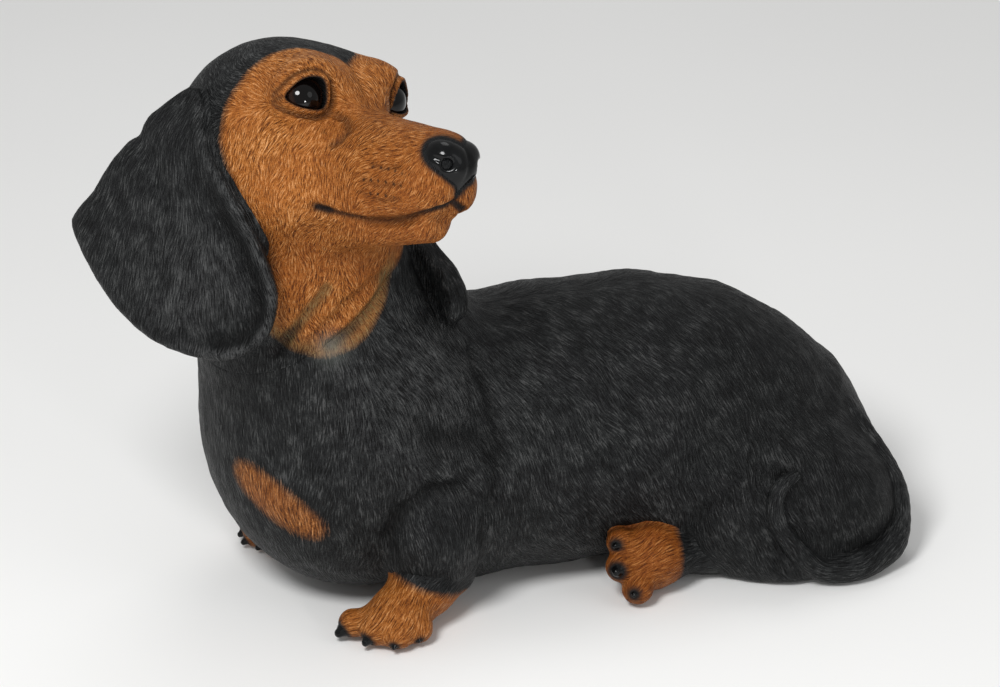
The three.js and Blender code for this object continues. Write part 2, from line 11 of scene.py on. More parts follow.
import bmesh
import bpy
import numpy as np
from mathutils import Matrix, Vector


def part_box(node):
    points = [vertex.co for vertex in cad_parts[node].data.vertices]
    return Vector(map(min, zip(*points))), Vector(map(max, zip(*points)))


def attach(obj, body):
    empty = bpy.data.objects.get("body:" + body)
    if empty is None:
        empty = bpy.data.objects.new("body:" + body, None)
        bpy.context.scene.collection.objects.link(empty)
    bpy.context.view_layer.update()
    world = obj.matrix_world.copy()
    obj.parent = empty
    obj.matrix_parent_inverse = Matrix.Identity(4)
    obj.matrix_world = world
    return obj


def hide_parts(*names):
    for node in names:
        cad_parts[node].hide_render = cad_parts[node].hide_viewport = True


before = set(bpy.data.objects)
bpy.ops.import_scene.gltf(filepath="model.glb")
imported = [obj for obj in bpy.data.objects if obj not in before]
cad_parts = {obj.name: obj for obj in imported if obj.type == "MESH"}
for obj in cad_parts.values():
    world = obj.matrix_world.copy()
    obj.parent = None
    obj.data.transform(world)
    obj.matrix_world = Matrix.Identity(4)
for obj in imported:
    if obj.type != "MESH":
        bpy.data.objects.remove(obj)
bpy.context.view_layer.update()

MM = 0.001
COARSE = 1.0

# The CAD's rear left pad ties the figurine's frame to the row's frame.
PAD_MIDDLE = np.array([204.0, -52.0, 0.2])
pad_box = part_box("felt_rear_left")
SHIFT = np.array((pad_box[0] + pad_box[1]) / 2) / MM - PAD_MIDDLE

# ---------------------------------------------------------------- field tools


def blend(a, b, width):
    """The union of two fields with a fillet."""
    near = np.maximum(width - np.abs(a - b), 0.0) / width
    return np.minimum(a, b) - near * near * width * 0.25


def carve(a, b, width):
    """The part that two fields share, with a rounded edge."""
    return -blend(-a, -b, width)


def unit(v):
    v = np.asarray(v, float)
    return v / np.maximum(np.linalg.norm(v, axis=-1, keepdims=True), 1e-9)


def axes(forward, up):
    """Rows forward, left and up."""
    f = unit(forward)
    left = unit(np.cross(up, f))
    return np.array([f, left, np.cross(f, left)])


def fold(p, middle=0.0):
    """Both sides of the plane Y = middle laid on its left side."""
    return np.stack([p[:, 0], np.abs(p[:, 1] - middle), p[:, 2]], 1)


def ball(p, centre, radius):
    return np.linalg.norm(p - np.asarray(centre, float), axis=1) - radius


def egg(p, centre, radii, turn=None):
    q = p - np.asarray(centre, float)
    if turn is not None:
        q = q @ turn.T
    r = np.asarray(radii, float)
    size = np.linalg.norm(q / r, axis=1)
    steep = np.linalg.norm(q / (r * r), axis=1)
    return size * (size - 1.0) / np.maximum(steep, 1e-9)


def bone(p, a, b, radius_a, radius_b):
    a, b = np.asarray(a, float), np.asarray(b, float)
    along = b - a
    t = np.clip((p - a) @ along / (along @ along), 0, 1)
    return np.linalg.norm(p - a - t[:, None] * along, axis=1) - (radius_a + (radius_b - radius_a) * t)


def limb(p, points, width):
    """A chain of tapered bones; a point is x, y, z, radius."""
    parts = [bone(p, a[:3], b[:3], a[3], b[3]) for a, b in zip(points, points[1:])]
    total = parts[0]
    for part in parts[1:]:
        total = blend(total, part, width)
    return total


def path(p, points):
    """The distance to a line of points."""
    return np.min([bone(p, a, b, 0, 0) for a, b in zip(points, points[1:])], axis=0)


def groove(p, points, width, depth):
    """A groove pressed in along a line of points on the skin."""
    return depth * np.exp(-((path(p, points) / width) ** 2))


def traced(form, points, parts=3):
    """A line of points, divided and laid on the skin of a form."""
    points = np.asarray(points, float)
    steps = np.arange(parts) / parts
    line = [a + (b - a) * t for a, b in zip(points, points[1:]) for t in steps]
    return settle(form, np.array(line + [points[-1]]), 4)


def ripple(distance, at, width, depth):
    """A ring-shaped groove (or ridge, below 0) where a distance has one value."""
    return depth * np.exp(-(((distance - at) / width) ** 2))


def rounded(points, steps=3):
    """A smooth closed loop through the points."""
    points = np.asarray(points, float)
    before, after, beyond = np.roll(points, 1, 0), np.roll(points, -1, 0), np.roll(points, -2, 0)
    loop = []
    for i in range(steps):
        t = i / steps
        loop.append(
            0.5
            * (
                2 * points
                + (after - before) * t
                + (2 * before - 5 * points + 4 * after - beyond) * t * t
                + (3 * points - before - 3 * after + beyond) * t**3
            )
        )
    return np.stack(loop, 1).reshape(-1, 2)


def smooth(points, steps=3):
    """An open curve through the points, in any number of dimensions."""
    points = np.asarray(points, float)
    ends = np.vstack([2 * points[0] - points[1], points, 2 * points[-1] - points[-2]])
    t = (np.arange(steps) / steps)[:, None]
    curve = []
    for a, b, c, d in zip(ends, ends[1:], ends[2:], ends[3:]):
        bend = (2 * a - 5 * b + 4 * c - d) * t * t
        curve.append(0.5 * (2 * b + (c - a) * t + bend + (3 * b - a - 3 * c + d) * t**3))
    return np.vstack([*curve, points[-1]])


def inside(x, y, loop):
    """The distance to a closed outline, below 0 inside it."""
    gap = np.full(x.shape, 1e18)
    sign = np.ones(x.shape)
    for (ax, ay), (bx, by) in zip(loop, np.roll(loop, 1, 0)):
        ex, ey, wx, wy = bx - ax, by - ay, x - ax, y - ay
        t = np.clip((wx * ex + wy * ey) / (ex * ex + ey * ey), 0, 1)
        gap = np.minimum(gap, (wx - ex * t) ** 2 + (wy - ey * t) ** 2)
        above, below, right = y >= ay, y < by, ex * wy > ey * wx
        crossed = (above & below & right) | (~above & ~below & ~right)
        sign = np.where(crossed, -sign, sign)
    return sign * np.sqrt(gap)


def slope(field, p, step=0.25):
    k = np.array([[1, -1, -1], [-1, -1, 1], [-1, 1, -1], [1, 1, 1]], float)
    return sum(k[i] * field(p + step * k[i])[:, None] for i in range(4)) / (4 * step)


def settle(field, p, rounds=2):
    """Moves points onto the surface of a field."""
    for _ in range(rounds):
        g = slope(field, p)
        steep = np.maximum((g * g).sum(1), 0.05)
        p = p - np.clip(field(p) / steep, -2, 2)[:, None] * g
    return p


# ---------------------------------------------------------------- head
HEAD_MIDDLE = np.array([-32.7, -5.0, 242.5])
HEAD = axes((0.4455, -0.844, 0.2988), (0.1445, 0.397, 0.906))
# Its rounded masses, in its own frame: the middle and the radii. Those off its middle are on
# both sides.
SKULL = ((-2, 0, 0), (56, 49, 51))
FOREHEAD = ((28, 10, 14), (31, 22, 27))
CHEEK = ((20, 22, -22), (38, 22, 26))
UPPER_LIP = ((96, 8, -25), (24, 12, 13))
BROW = ((43, 21, 28), (13, 12, 10))
EYE_HOLLOW = ((64, 27, 14), (14, 12, 10))
NOSE_PAD = ((114.5, 3.0, -13), (12.6, 10.2, 10.8))
NOSE_WING = ((115, 7.6, -10), (9.5, 6.8, 7.6))
# Its tapered bones: both ends and their radii.
MUZZLE = ((48, 0, -14), (102, 0, -19), 28, 18.5)
NOSE_BRIDGE = ((70, 0, -7), (112, 0, -11), 16, 12.5)
LIP_EDGE = ((58, 14, -28), (107, 7, -26.5), 13.5, 10)
JAW = ((36, 6, -37), (99, 2.5, -41.5), 15.5, 8.8)
NOSE_FOOT = ((117.5, 0, -18), (117, 0, -25.5), 7.5, 3.0)
NOSTRIL = ((121.0, 8.8, -14), (130, 12.5, -15), 2.2, 3.6)
NOSTRIL_SLIT = ((124, 11.5, -13.5), (113, 18.5, -8.5), 1.7, 1.0)

EYE = (39.5, 26.5, 18.9)
EYE_RADIUS = 12.0
LID_THICKNESS = 2.0
EYE_LOOK = (0.94, 0.34, 0.10)
EYE_AXES = axes(EYE_LOOK, (0, 0, 1))
# The opening between the lids, seen along the eye's own axis: inwards, up.
LIDS = rounded(
    [(-10.4, -1.2), (-6.4, 4.2), (-2.2, 7.2), (2.6, 8.0), (6.6, 6.4), (8.6, 1.6),
     (9.0, -4.4), (6.8, -6.4), (1.6, -7.0), (-5.8, -5.2)]
)
MOUTH = [
    (54.5, 28.6, -34), (60.1, 25.4, -35.4), (67.3, 20.6, -37.8), (76.9, 16.1, -40), (88.8, 13.8, -40.4),
    (99.7, 12.6, -39.4), (110.3, 11.8, -37.1), (114.9, 8.6, -35), (116.9, 0, -31.7),
]
PHILTRUM = [(122, 0, -24), (120, 0, -33.5)]
NOSE_LINE = [(128, 0, -17), (123, 0, -29)]
EYE_BAG = [(57, 22, 13), (61, 17, 10), (65, 19, 4), (64, 22, -1), (61, 24, -4)]
EYE_CORNER = [(42, 41, 18.5), (36, 41, 17.5)]
WHISKERS = [
    [(84, 22, -13), (92, 21, -15.5), (101, 19, -15)],
    [(79, 22, -20), (90, 22, -24), (103, 20, -23)],
    [(78, 21, -26), (89, 21, -30.5), (101, 20, -30)],
]
# How wide and how deep a line is pressed in.
MOUTH_GROOVE = (1.9, 4.2)
MOUTH_CORNER_GROOVE = (3.0, 3.0)
PHILTRUM_GROOVE = (1.2, 1.6)
WHISKER_GROOVE = (1.3, 0.7)
LIP_RIDGE = (2.6, 0.9)
LIP_RIDGE_DROP = (0, 0, 4.2)
BAG_GROOVE = (1.7, 2.4)
CORNER_GROOVE = (1.4, 1.1)
NOSE_GROOVE = (0.9, 1.1)


def on_head(p):
    return (p - HEAD_MIDDLE) @ HEAD.T


def on_eye(q):
    """Ahead, inwards and up, from the middle of the eyeball."""
    e = (fold(q) - EYE) @ EYE_AXES.T
    return e[:, 0], -e[:, 1], e[:, 2]


def lid_gap(q):
    """The distance from the opening between the lids, seen along the eye's axis."""
    ahead, inwards, up = on_eye(q)
    return inside(inwards, up, LIDS), ahead, inwards, up


def head_form(q):
    m = fold(q)
    d = egg(q, *SKULL)
    d = blend(d, egg(m, *FOREHEAD), 14)
    d = blend(d, bone(q, *MUZZLE), 14)
    d = blend(d, bone(q, *NOSE_BRIDGE), 10)
    d = blend(d, egg(m, *CHEEK), 14)
    d = blend(d, egg(m, *UPPER_LIP), 6)
    d = blend(d, bone(m, *LIP_EDGE), 7)
    d = blend(d, bone(m, *JAW), 5)
    d = blend(d, egg(m, *BROW), 9)
    d = carve(d, -egg(m, *EYE_HOLLOW), 8)
    return blend(d, ball(m, EYE, EYE_RADIUS + LID_THICKNESS), 6)


LIPS = traced(head_form, MOUTH)
BAG = traced(head_form, EYE_BAG)
CORNER = traced(head_form, EYE_CORNER)
ROWS = [traced(head_form, row, 2) for row in WHISKERS]


def face(q):
    """The head with its mouth, lids and creases; the eyes' openings are cut right through."""
    d = head_form(q)
    close = np.abs(d) < 14
    if not close.any():
        return d
    near = q[close]
    m = fold(near)
    lines = groove(m, LIPS, *MOUTH_GROOVE) + groove(near, PHILTRUM, *PHILTRUM_GROOVE)
    whiskers = sum(groove(m, row, *WHISKER_GROOVE) for row in ROWS)
    lines = lines + groove(m, LIPS[:3], *MOUTH_CORNER_GROOVE) + whiskers
    lines = lines - groove(m, LIPS[2:] - LIP_RIDGE_DROP, *LIP_RIDGE)
    lines = lines + groove(m, BAG, *BAG_GROOVE) + groove(m, CORNER, *CORNER_GROOVE)
    gap, ahead, _, up = lid_gap(near)
    upper = np.clip((up + 3) / 6, 0, 1)
    front = np.clip(ahead / 6, 0, 1)
    lids = ripple(gap, 3.8, 1.2, 1.3) * upper - ripple(gap, 1.4, 1.2, 0.7)
    lids = lids + (ripple(gap, 3.4, 1.2, 1.5) - ripple(gap, 6.6, 2.4, 0.9)) * (1 - upper)
    d[close] += lines + lids * front
    hole = np.full(len(q), 99.0)
    hole[close] = np.maximum(gap, -ahead)
    return carve(d, -hole, 1.2)


def nose_block(q):
    """The nose before its nostrils are cut."""
    m = fold(q)
    d = egg(m, *NOSE_PAD)
    d = blend(d, egg(m, *NOSE_WING), 3)
    return blend(d, bone(q, *NOSE_FOOT), 6)


def nose_form(q):
    m = fold(q)
    d = carve(nose_block(q), -bone(m, *NOSTRIL), 1.8)
    d = carve(d, -bone(m, *NOSTRIL_SLIT), 1.0)
    return d + groove(q, NOSE_LINE, *NOSE_GROOVE)


# ---------------------------------------------------------------- body
CHEST = ((2, 2, 90), (75, 68, 82))
HAUNCH = ((200, 42, 34), (56, 44, 45))
RUMP = ((235, -48, 28), (39, 47, 36))
RUMP_FOOT = ((211, -72, 10), (28, 22, 14))
SHOULDER_MASS = ((12, 34, 92), (42, 40, 56))
UPPER_ARM = ((25, 50, 47), (31, 31, 33))
NECK = [(0, 0, 100, 66), (-20, -4, 150, 56), (-27, -10, 188, 49), (-32, -10, 222, 44)]
SPINE = [
    (4, 0, 70, 69), (50, 0, 68, 70), (105, -1, 68.5, 70), (150, -3, 68.5, 69), (182, -5, 64.5, 64),
    (208, -8, 56, 55), (230, -10, 46, 44), (246, -12, 34, 32), (256, -14, 28, 24),
]
HIND_MIDDLE = -6.0
THROAT_FOLDS = [
    [(-55, -51, 154), (-47, -55, 164), (-38, -59, 177), (-30, -61, 188)],
    [(-42, -58, 153), (-32, -60, 166), (-21, -61, 178), (-6, -57, 186), (2, -53, 188)],
    [(-29, -61, 158), (-18, -61, 165), (-5, -57, 175), (4, -52, 184)],
]
# The lines of the limbs, on the near side.
SHOULDER_FOLD = [
    (50, -41, 134), (54, -56, 116), (54, -67, 96), (53, -72, 77), (45, -72, 50), (41, -66, 30),
]
ELBOW_FOLD = [(1, -67, 38), (-3, -68, 52), (1, -73, 67), (16, -75, 78), (31, -72, 77)]
ARM_FOLD = [
    (13, -72, 114), (19, -73, 107), (28, -71, 103), (38, -68, 101), (47, -66, 96), (52, -69, 90),
]
THIGH_FOLD = [
    (150, -68, 12), (155, -73, 24), (158, -78, 44), (175, -83, 54), (196, -84, 59), (210, -83, 61),
]
# How wide and how deep each is pressed in.
THROAT_GROOVE = (2.3, 3.6)
SHOULDER_GROOVE = (2.8, 2.8)
ELBOW_GROOVE = (3.6, 3.4)
ARM_GROOVE = (6, 2.2)
THIGH_GROOVE = (2.8, 2.2)


def trunk(p):
    d = egg(p, *CHEST)
    d = blend(d, limb(p, SPINE, 10), 10)
    d = blend(d, egg(fold(p, HIND_MIDDLE), *HAUNCH), 18)
    d = blend(d, egg(p, *RUMP), 18)
    d = blend(d, egg(p, *RUMP_FOOT), 12)
    m = fold(p)
    d = blend(d, egg(m, *SHOULDER_MASS), 8)
    return blend(d, egg(m, *UPPER_ARM), 3)


def plain_body(p, head=head_form):
    return blend(blend(head(on_head(p)), limb(p, NECK, 10), 16), trunk(p), 20)


THROAT = [traced(plain_body, line, 2) for line in THROAT_FOLDS]
SHOULDER = traced(plain_body, SHOULDER_FOLD, 2)
ELBOW = traced(plain_body, ELBOW_FOLD, 2)
ARM = traced(plain_body, ARM_FOLD, 2)
THIGH = traced(plain_body, THIGH_FOLD, 2)


def near_side(p, middle=0.0):
    """Both sides of the plane Y = middle laid on the near side."""
    return np.stack([p[:, 0], middle - np.abs(p[:, 1] - middle), p[:, 2]], 1)


def body(p):
    d = plain_body(p, face)
    close = np.abs(d) < 8
    if close.any():
        near = p[close]
        m = near_side(near)
        lines = sum(groove(near, line, *THROAT_GROOVE) for line in THROAT)
        lines = lines + groove(m, SHOULDER, *SHOULDER_GROOVE)
        lines = lines + groove(m, ELBOW, *ELBOW_GROOVE)
        lines = lines + groove(m, ARM, *ARM_GROOVE)
        d[close] += lines + groove(near_side(near, HIND_MIDDLE), THIGH, *THIGH_GROOVE)
    return carve(d, -p[:, 2], 2)


# ---------------------------------------------------------------- feet
class Foot:
    """A foot: a palm, toes (x, y, z, radius) and the leg that it grows from.

    A claw is the toe's number, the way it points, how thick and how long it is.
    """

    def __init__(self, palm, radii, toes, claws, leg, mirrored=None):
        self.palm, self.radii = np.array(palm, float), radii
        self.toes, self.nails, self.leg = toes, claws, leg
        self.mirrored = mirrored

    def near(self, p):
        if self.mirrored is None:
            return p
        return np.stack([p[:, 0], 2 * self.mirrored - p[:, 1], p[:, 2]], 1)

    def form(self, p):
        p = self.near(p)
        d = blend(egg(p, self.palm, self.radii), limb(p, self.leg, 8), 8)
        for toe in self.toes:
            start = self.palm + (np.array(toe[:3]) - self.palm) * 0.35
            d = blend(d, bone(p, start, toe[:3], toe[3] * 0.95, toe[3]), 3.4)
        return carve(d, 0.2 - p[:, 2], 2)

    def claws(self, p):
        p = self.near(p)
        nails = []
        for toe, way, thick, length in self.nails:
            x, y, z, radius = self.toes[toe]
            start = np.array([x, y, z]) + unit(way) * (radius - thick * 0.45)
            tip = start + unit(way) * length
            nails.append(bone(p, start, tip, thick, thick * 0.55))
        return np.maximum(np.min(nails, axis=0), 0.3 - p[:, 2])

    def lay(self, p):
        """Hair runs from the palm out over the toes."""
        near = self.near(p)
        tips = np.array([toe[:3] for toe in self.toes])
        weight = np.exp(-(np.linalg.norm(near[:, None] - tips, axis=2) / 9) ** 2) + 0.2
        way = unit(weight @ (tips - self.palm))
        if self.mirrored is not None:
            way[:, 1] *= -1
        return way


HIND_FOOT = {
    "palm": (135, -68, 18.5),
    "radii": (19.5, 17, 18),
    "toes": [(119, -70, 30, 7.2), (117, -76, 19.5, 7.8), (123.5, -82.5, 8.8, 7.8), (125, -60, 10, 7)],
    "claws": [(0, (-0.65, -0.75, 0.15), 2.9, 1.4), (1, (-0.6, -0.8, 0.1), 4.0, 2.4),
              (2, (-0.55, -0.8, 0.1), 2.9, 1.2), (3, (-0.9, 0.3, -0.2), 2.6, 1.6)],
    "leg": [(180, -60, 18, 16), (170, -58, 16, 15), (150, -62, 17, 14.5)],
}
FEET = {
    "foreleg_left": Foot(
        (-2, -75, 11), (17, 15, 12),
        [(-21.5, -67, 8.4, 7.2), (-13.5, -78, 8.2, 7.2), (-4, -85.5, 8, 7.2), (7.5, -83, 8, 7)],
        [(0, (-0.85, -0.1, -0.45), 4.3, 3.0), (1, (-0.75, -0.45, -0.45), 3.4, 2.6),
         (2, (-0.55, -0.7, -0.5), 2.2, 1.4), (3, (-0.3, -0.85, -0.5), 2.0, 1.0)],
        [(30, -52, 24, 18), (17, -62, 20, 15), (4, -70, 15, 12.5)]),
    "foreleg_right": Foot(
        (-18.5, 47, 10.5), (19, 16, 11),
        [(-31.5, 35, 7.6, 7.0), (-36.5, 43, 7.8, 7.2), (-35.5, 52, 7.8, 7.2), (-30.5, 60, 7.6, 7.0)],
        [(i, (-0.85, 0, -0.5), 2.8, 2.4) for i in range(4)],
        [(32, 46, 22, 18), (16, 48, 18, 15.5), (-8, 47, 14, 12)]),
    "hind_foot_left": Foot(**HIND_FOOT),
    "hind_foot_right": Foot(**HIND_FOOT, mirrored=HIND_MIDDLE),
}

# ---------------------------------------------------------------- tail
TAIL = smooth(
    [(252, -36, 66, 9), (260.5, -52, 50.5, 8.9), (267, -64, 36.5, 8.5), (269, -70.5, 23, 8.1),
     (262, -84, 13, 8), (252, -89.5, 9, 8), (240, -94.5, 8, 7.8), (229, -95, 7.6, 7.4),
     (221, -93.5, 8, 6.6), (213, -93.5, 12.5, 5.9), (203.5, -94.5, 23, 5.2), (196.5, -93.5, 34, 4.8),
     (193.5, -92, 44, 4.5), (194.5, -90, 52, 4.1), (199.5, -88, 57.5, 3.7), (206, -86.5, 59.5, 3)]
)


def tail(p):
    return carve(limb(p, TAIL, 0.6), -p[:, 2], 2)


def tail_lay(p):
    """Hair runs along the tail to its tip."""
    points = TAIL[:, :3]
    middles = (points[1:] + points[:-1]) / 2
    ways = unit(points[1:] - points[:-1])
    weight = np.exp(-(np.linalg.norm(p[:, None] - middles, axis=2) / 14) ** 2) + 1e-9
    return unit(weight @ ways)


# ---------------------------------------------------------------- ears
EAR_RIGHT = rounded(
    [(-40, 24), (-51, 21), (-58.5, 16), (-65, 11), (-69, 3), (-74, 0.5), (-85, -11.5), (-92.5, -23),
     (-101, -32), (-104, -40), (-96.5, -57), (-88, -71), (-77, -84), (-61, -96.5), (-40, -104), (-24, -105),
     (-9, -98), (-2, -85), (-2, -68), (-13, -43), (-25, -23), (-35, -5)]
)
EAR_RIGHT_FOLD = [(-70, 2), (-61, -12), (-56, -28), (-52, -40)]
EAR_LEFT = rounded(
    [(2, -12), (14, 8), (22, 28), (33, 49), (47, 64), (52, 76), (47, 88), (37, 92), (24, 92),
     (8, 90), (-10, 84), (-28, 70), (-40, 50), (-43, 30), (-36, 8), (-22, -10)]
)
# Rows across, up and out of the near ear's face.
NEAR_EAR = np.array([(0.9397, -0.3420, 0), (0.1445, 0.397, 0.906), (-0.310, -0.852, 0.4226)])
EAR_LEAN = math.radians(20)
# Rows forward, down and out of the far ear's face.
FAR_EAR = np.array([
    HEAD[0],
    HEAD[1] * math.sin(EAR_LEAN) - HEAD[2] * math.cos(EAR_LEAN),
    HEAD[1] * math.cos(EAR_LEAN) + HEAD[2] * math.sin(EAR_LEAN),
])
FAR_EAR_ROOT = HEAD_MIDDLE + 54 * HEAD[1] - 4 * NEAR_EAR[0]


def flap(rim, out, edge=3.4, half=6.5):
    """A flap with a rounded edge, from the distance to its outline and to its middle sheet."""
    wall = np.stack([rim + edge, np.abs(out) - (half - edge)], 1)
    return np.linalg.norm(np.maximum(wall, 0), axis=1) + np.minimum(wall.max(1), 0) - edge


def ear_right(p):
    x, y, out = ((p - HEAD_MIDDLE) @ NEAR_EAR.T).T
    rim = inside(x, y, EAR_RIGHT)
    # How far out the middle of the flap lies: it swings away from the head and is bowed.
    sheet = 36 + 0.55 * (x + 20) - 0.0028 * (x + 40) ** 2 + 0.02 * y
    # A raised rim with a furrow behind it, on the edge next to the face.
    front = np.clip((x + 48) / 20, 0, 1)
    sheet = sheet - ripple(rim, -9.5, 4.2, 3.6) * front + ripple(rim, -3, 2.6, 1.4) * front
    flat = np.stack([x, y, 0 * x], 1)
    crease = groove(flat, [(a, b, 0) for a, b in EAR_RIGHT_FOLD], 5.0, 2.4)
    sheet = sheet - crease * np.clip((y + 45) / 25, 0, 1)
    # A knuckle at the root, and slow waves over the flap.
    sheet = sheet + 2.0 * np.exp(-(np.hypot(x + 46, y + 4) / 16) ** 2)
    sheet = sheet + 1.2 * np.sin(x / 13 + y / 21) * np.clip(-rim / 12, 0, 1)
    # It drapes over the cheek.
    across = (x + 22) * 0.876 + (y + 20) * 0.483
    along = (x + 22) * 0.483 - (y + 20) * 0.876
    return flap(rim, out - sheet - 13 * np.exp(-(((across - 3) / 14) ** 2) - ((along / 30) ** 2)))


def ear_right_paint(p):
    """The raised rim and the middle of the flap are brushed lighter, partly a painted highlight; painted
    shade lies in the furrow behind the rim.
    """
    x, y, _ = ((p - HEAD_MIDDLE) @ NEAR_EAR.T).T
    rim = inside(x, y, EAR_RIGHT)
    front = np.clip((x + 48) / 20, 0, 1)
    middle = np.exp(-(np.hypot(x + 42, y + 68) / 34) ** 2)
    dust = ripple(rim, -3, 2.4, 0.5) * front + 0.3 * middle - ripple(rim, -9, 4, 0.3) * front
    return {
        "dust": np.clip(dust, 0, 1),
        "stain": ripple(rim, -9, 3.6, 0.75) * front,
    }


def ear_right_lay(p):
    x, y, _ = ((p - HEAD_MIDDLE) @ NEAR_EAR.T).T
    way = np.stack([x + 32, y - 34, 0 * x], 1)
    return unit(way) @ NEAR_EAR


def ear_left(p):
    x, y, out = ((p - FAR_EAR_ROOT) @ FAR_EAR.T).T
    sheet = -0.0035 * (x - 10) ** 2 + 1.5 * np.exp(-(((x - 0.38 * y - 2) / 5) ** 2))
    return flap(inside(x, y, EAR_LEFT), out - sheet)


def ear_left_lay(p):
    return np.tile(FAR_EAR[1], (len(p), 1))


def joined(form, host, width, skirt=0.9, depth=3.5, reach=10.0):
    """A form that flows out of its host; a thin skirt of it stays just under the host's skin."""

    def field(p):
        own, skin_of_host = form(p), host(p)
        d = blend(own, skin_of_host + skirt, width)
        return np.maximum(np.maximum(d, own - reach), -(skin_of_host + depth))

    return field


# ---------------------------------------------------------------- skinning
CHUNK = 300000


def in_chunks(field, points):
    return np.concatenate([field(points[i:i + CHUNK]) for i in range(0, len(points), CHUNK)])


def skin(field, low, high, cell):
    """The surface nets of a field: points and quads. Coarse blocks find the cells worth a look."""
    low, high = np.asarray(low, float), np.asarray(high, float)
    count = np.ceil((high - low) / cell).astype(int) + 1
    block = 4
    blocks = count // block + 2
    grid = np.stack(np.meshgrid(*[np.arange(b) for b in blocks], indexing="ij"), -1).reshape(-1, 3)
    coarse = in_chunks(field, low + grid * cell * block).reshape(blocks)

    def spread(values):
        for axis in range(3):
            values = np.repeat(values, block, axis)
        return values[:count[0], :count[1], :count[2]]

    volume = np.where(spread(coarse) < 0, -1e3, 1e3)
    near = np.argwhere(spread(np.abs(coarse) < cell * block * 1.9))
    volume[tuple(near.T)] = in_chunks(field, low + near * cell)
    solid = volume < 0
    corners = [np.array((i, j, k)) for i in (0, 1) for j in (0, 1) for k in (0, 1)]
    filled = sum(
        solid[tuple(slice(c[a], count[a] - 1 + c[a]) for a in range(3))].astype(np.int8) for c in corners
    )
    cells = np.argwhere((filled > 0) & (filled < 8))
    number = np.full(tuple(count - 1), -1)
    number[tuple(cells.T)] = np.arange(len(cells))
    total, crossings = np.zeros((len(cells), 3)), np.zeros(len(cells))
    for axis in range(3):
        for corner in corners:
            if corner[axis]:
                continue
            start = cells + corner
            end = start.copy()
            end[:, axis] += 1
            a, b = volume[tuple(start.T)], volume[tuple(end.T)]
            crossed = (a < 0) != (b < 0)
            spot = start.astype(float)
            spot[:, axis] += np.clip(a / np.where(crossed, a - b, 1), 0.02, 0.98)
            total[crossed] += spot[crossed]
            crossings[crossed] += 1
    points = low + total / crossings[:, None] * cell
    quads = []
    for axis in range(3):
        b, c = (axis + 1) % 3, (axis + 2) % 3
        first = [slice(1, count[i] - 1) for i in range(3)]
        second = list(first)
        first[axis] = slice(0, count[axis] - 1)
        second[axis] = slice(1, count[axis])
        start = solid[tuple(first)]
        edges = np.argwhere(start != solid[tuple(second)])
        outward = start[tuple(edges.T)]
        base = edges + 1
        base[:, axis] -= 1
        ring = []
        for step_b, step_c in ((-1, -1), (0, -1), (0, 0), (-1, 0)):
            q = base.copy()
            q[:, b] += step_b
            q[:, c] += step_c
            ring.append(number[tuple(q.T)])
        ring = np.stack(ring, 1)
        ring[~outward] = ring[~outward][:, ::-1]
        quads.append(ring)
    quads = np.concatenate(quads)
    return points, quads[(quads >= 0).all(1)]


# ---------------------------------------------------------------- hair
def lattice(cell):
    """A fixed random value from 0 to 1 for each whole-number point."""
    n = cell[:, 0] * 374761393 + cell[:, 1] * 668265263 + cell[:, 2] * 1274126177
    n = ((n ^ (n >> 13)) * 1103515245) & 0x7FFFFFFF
    return ((n ^ (n >> 16)) & 0xFFFF) / 65535.0


def noise(p, size):
    """Smooth random values from -1 to 1 with features of one size."""
    q = p / size
    base = np.floor(q).astype(np.int64)
    f = q - base
    f = f * f * (3 - 2 * f)
    total = np.zeros(len(p))
    for i in (0, 1):
        for j in (0, 1):
            for k in (0, 1):
                weight = (f[:, 0] if i else 1 - f[:, 0]) * (f[:, 1] if j else 1 - f[:, 1])
                weight = weight * (f[:, 2] if k else 1 - f[:, 2])
                total += weight * lattice(base + (i, j, k))
    return total * 2 - 1


def comb(p, normal, way, swirl):
    """Lays directions flat on the skin, with a slow wander."""
    way = way - (way * normal).sum(1)[:, None] * normal
    way = unit(way)
    side = np.cross(normal, way)
    turn = (swirl * (noise(p, 19) + 0.6 * noise(p + 40, 7)))[:, None]
    return way * np.cos(turn) + side * np.sin(turn)


def tufts(p, lay, size=3.4, reach=9.0):
    """Locks of hair: noise drawn out along the lay."""
    return sum(noise(p + lay * reach * s, size) for s in (-0.5, -0.25, 0, 0.25, 0.5)) / 5


def body_lay(p):
    """Hair runs back along the spine, turns down the flanks and falls down the chest."""
    fall = np.interp(p[:, 2], (60, 100, 130), (3.2, 2.0, 0.9))
    back = np.interp(p[:, 0], (-30, 50, 190, 260), (0.0, 1.0, 1.0, 0.3))
    return np.stack([back, 0.9 * np.tanh(p[:, 1] / 15) * back, -fall], 1)


def head_lay(p):
    """Hair runs back from the nose, up over the brow and down over the cheeks."""
    x, y, z = on_head(p).T
    muzzle = np.clip((x - 62) / 20, 0, 1)
    rise = np.clip((z - 14) / 12, -1, 1)
    lift = np.where(rise > 0, rise * 0.9, rise * 1.9) * (1 - muzzle) - 0.75 * muzzle
    lift = lift - 1.5 * np.clip((-40 - z) / 30, 0, 1)
    return np.stack([-np.ones(len(p)), 0.3 * np.tanh(y / 10), lift], 1) @ HEAD


# ---------------------------------------------------------------- paint
# Where the tan face ends: how far forward of the skull's middle, by the angle round the
# head from its crown.
BORDER_ANGLES = np.radians([0, 14, 21, 32, 47, 70, 92, 110, 125, 180])
BORDER = [47, 41.6, 28.5, 20.6, 15.3, 10.3, 9, 15, 20, 10]
FACE_REACH = ((45, 0, -10), (95, 60, 64))
TAN_THROAT = ((-31, -60, 207), (40, 60, 54))
CHEST_PATCH = ((-54, -47, 70), (27, 9.5, 20))
PATCH_AXES = axes((34.7, -29.5, -30.4), (-0.66, -0.6, 0.1))
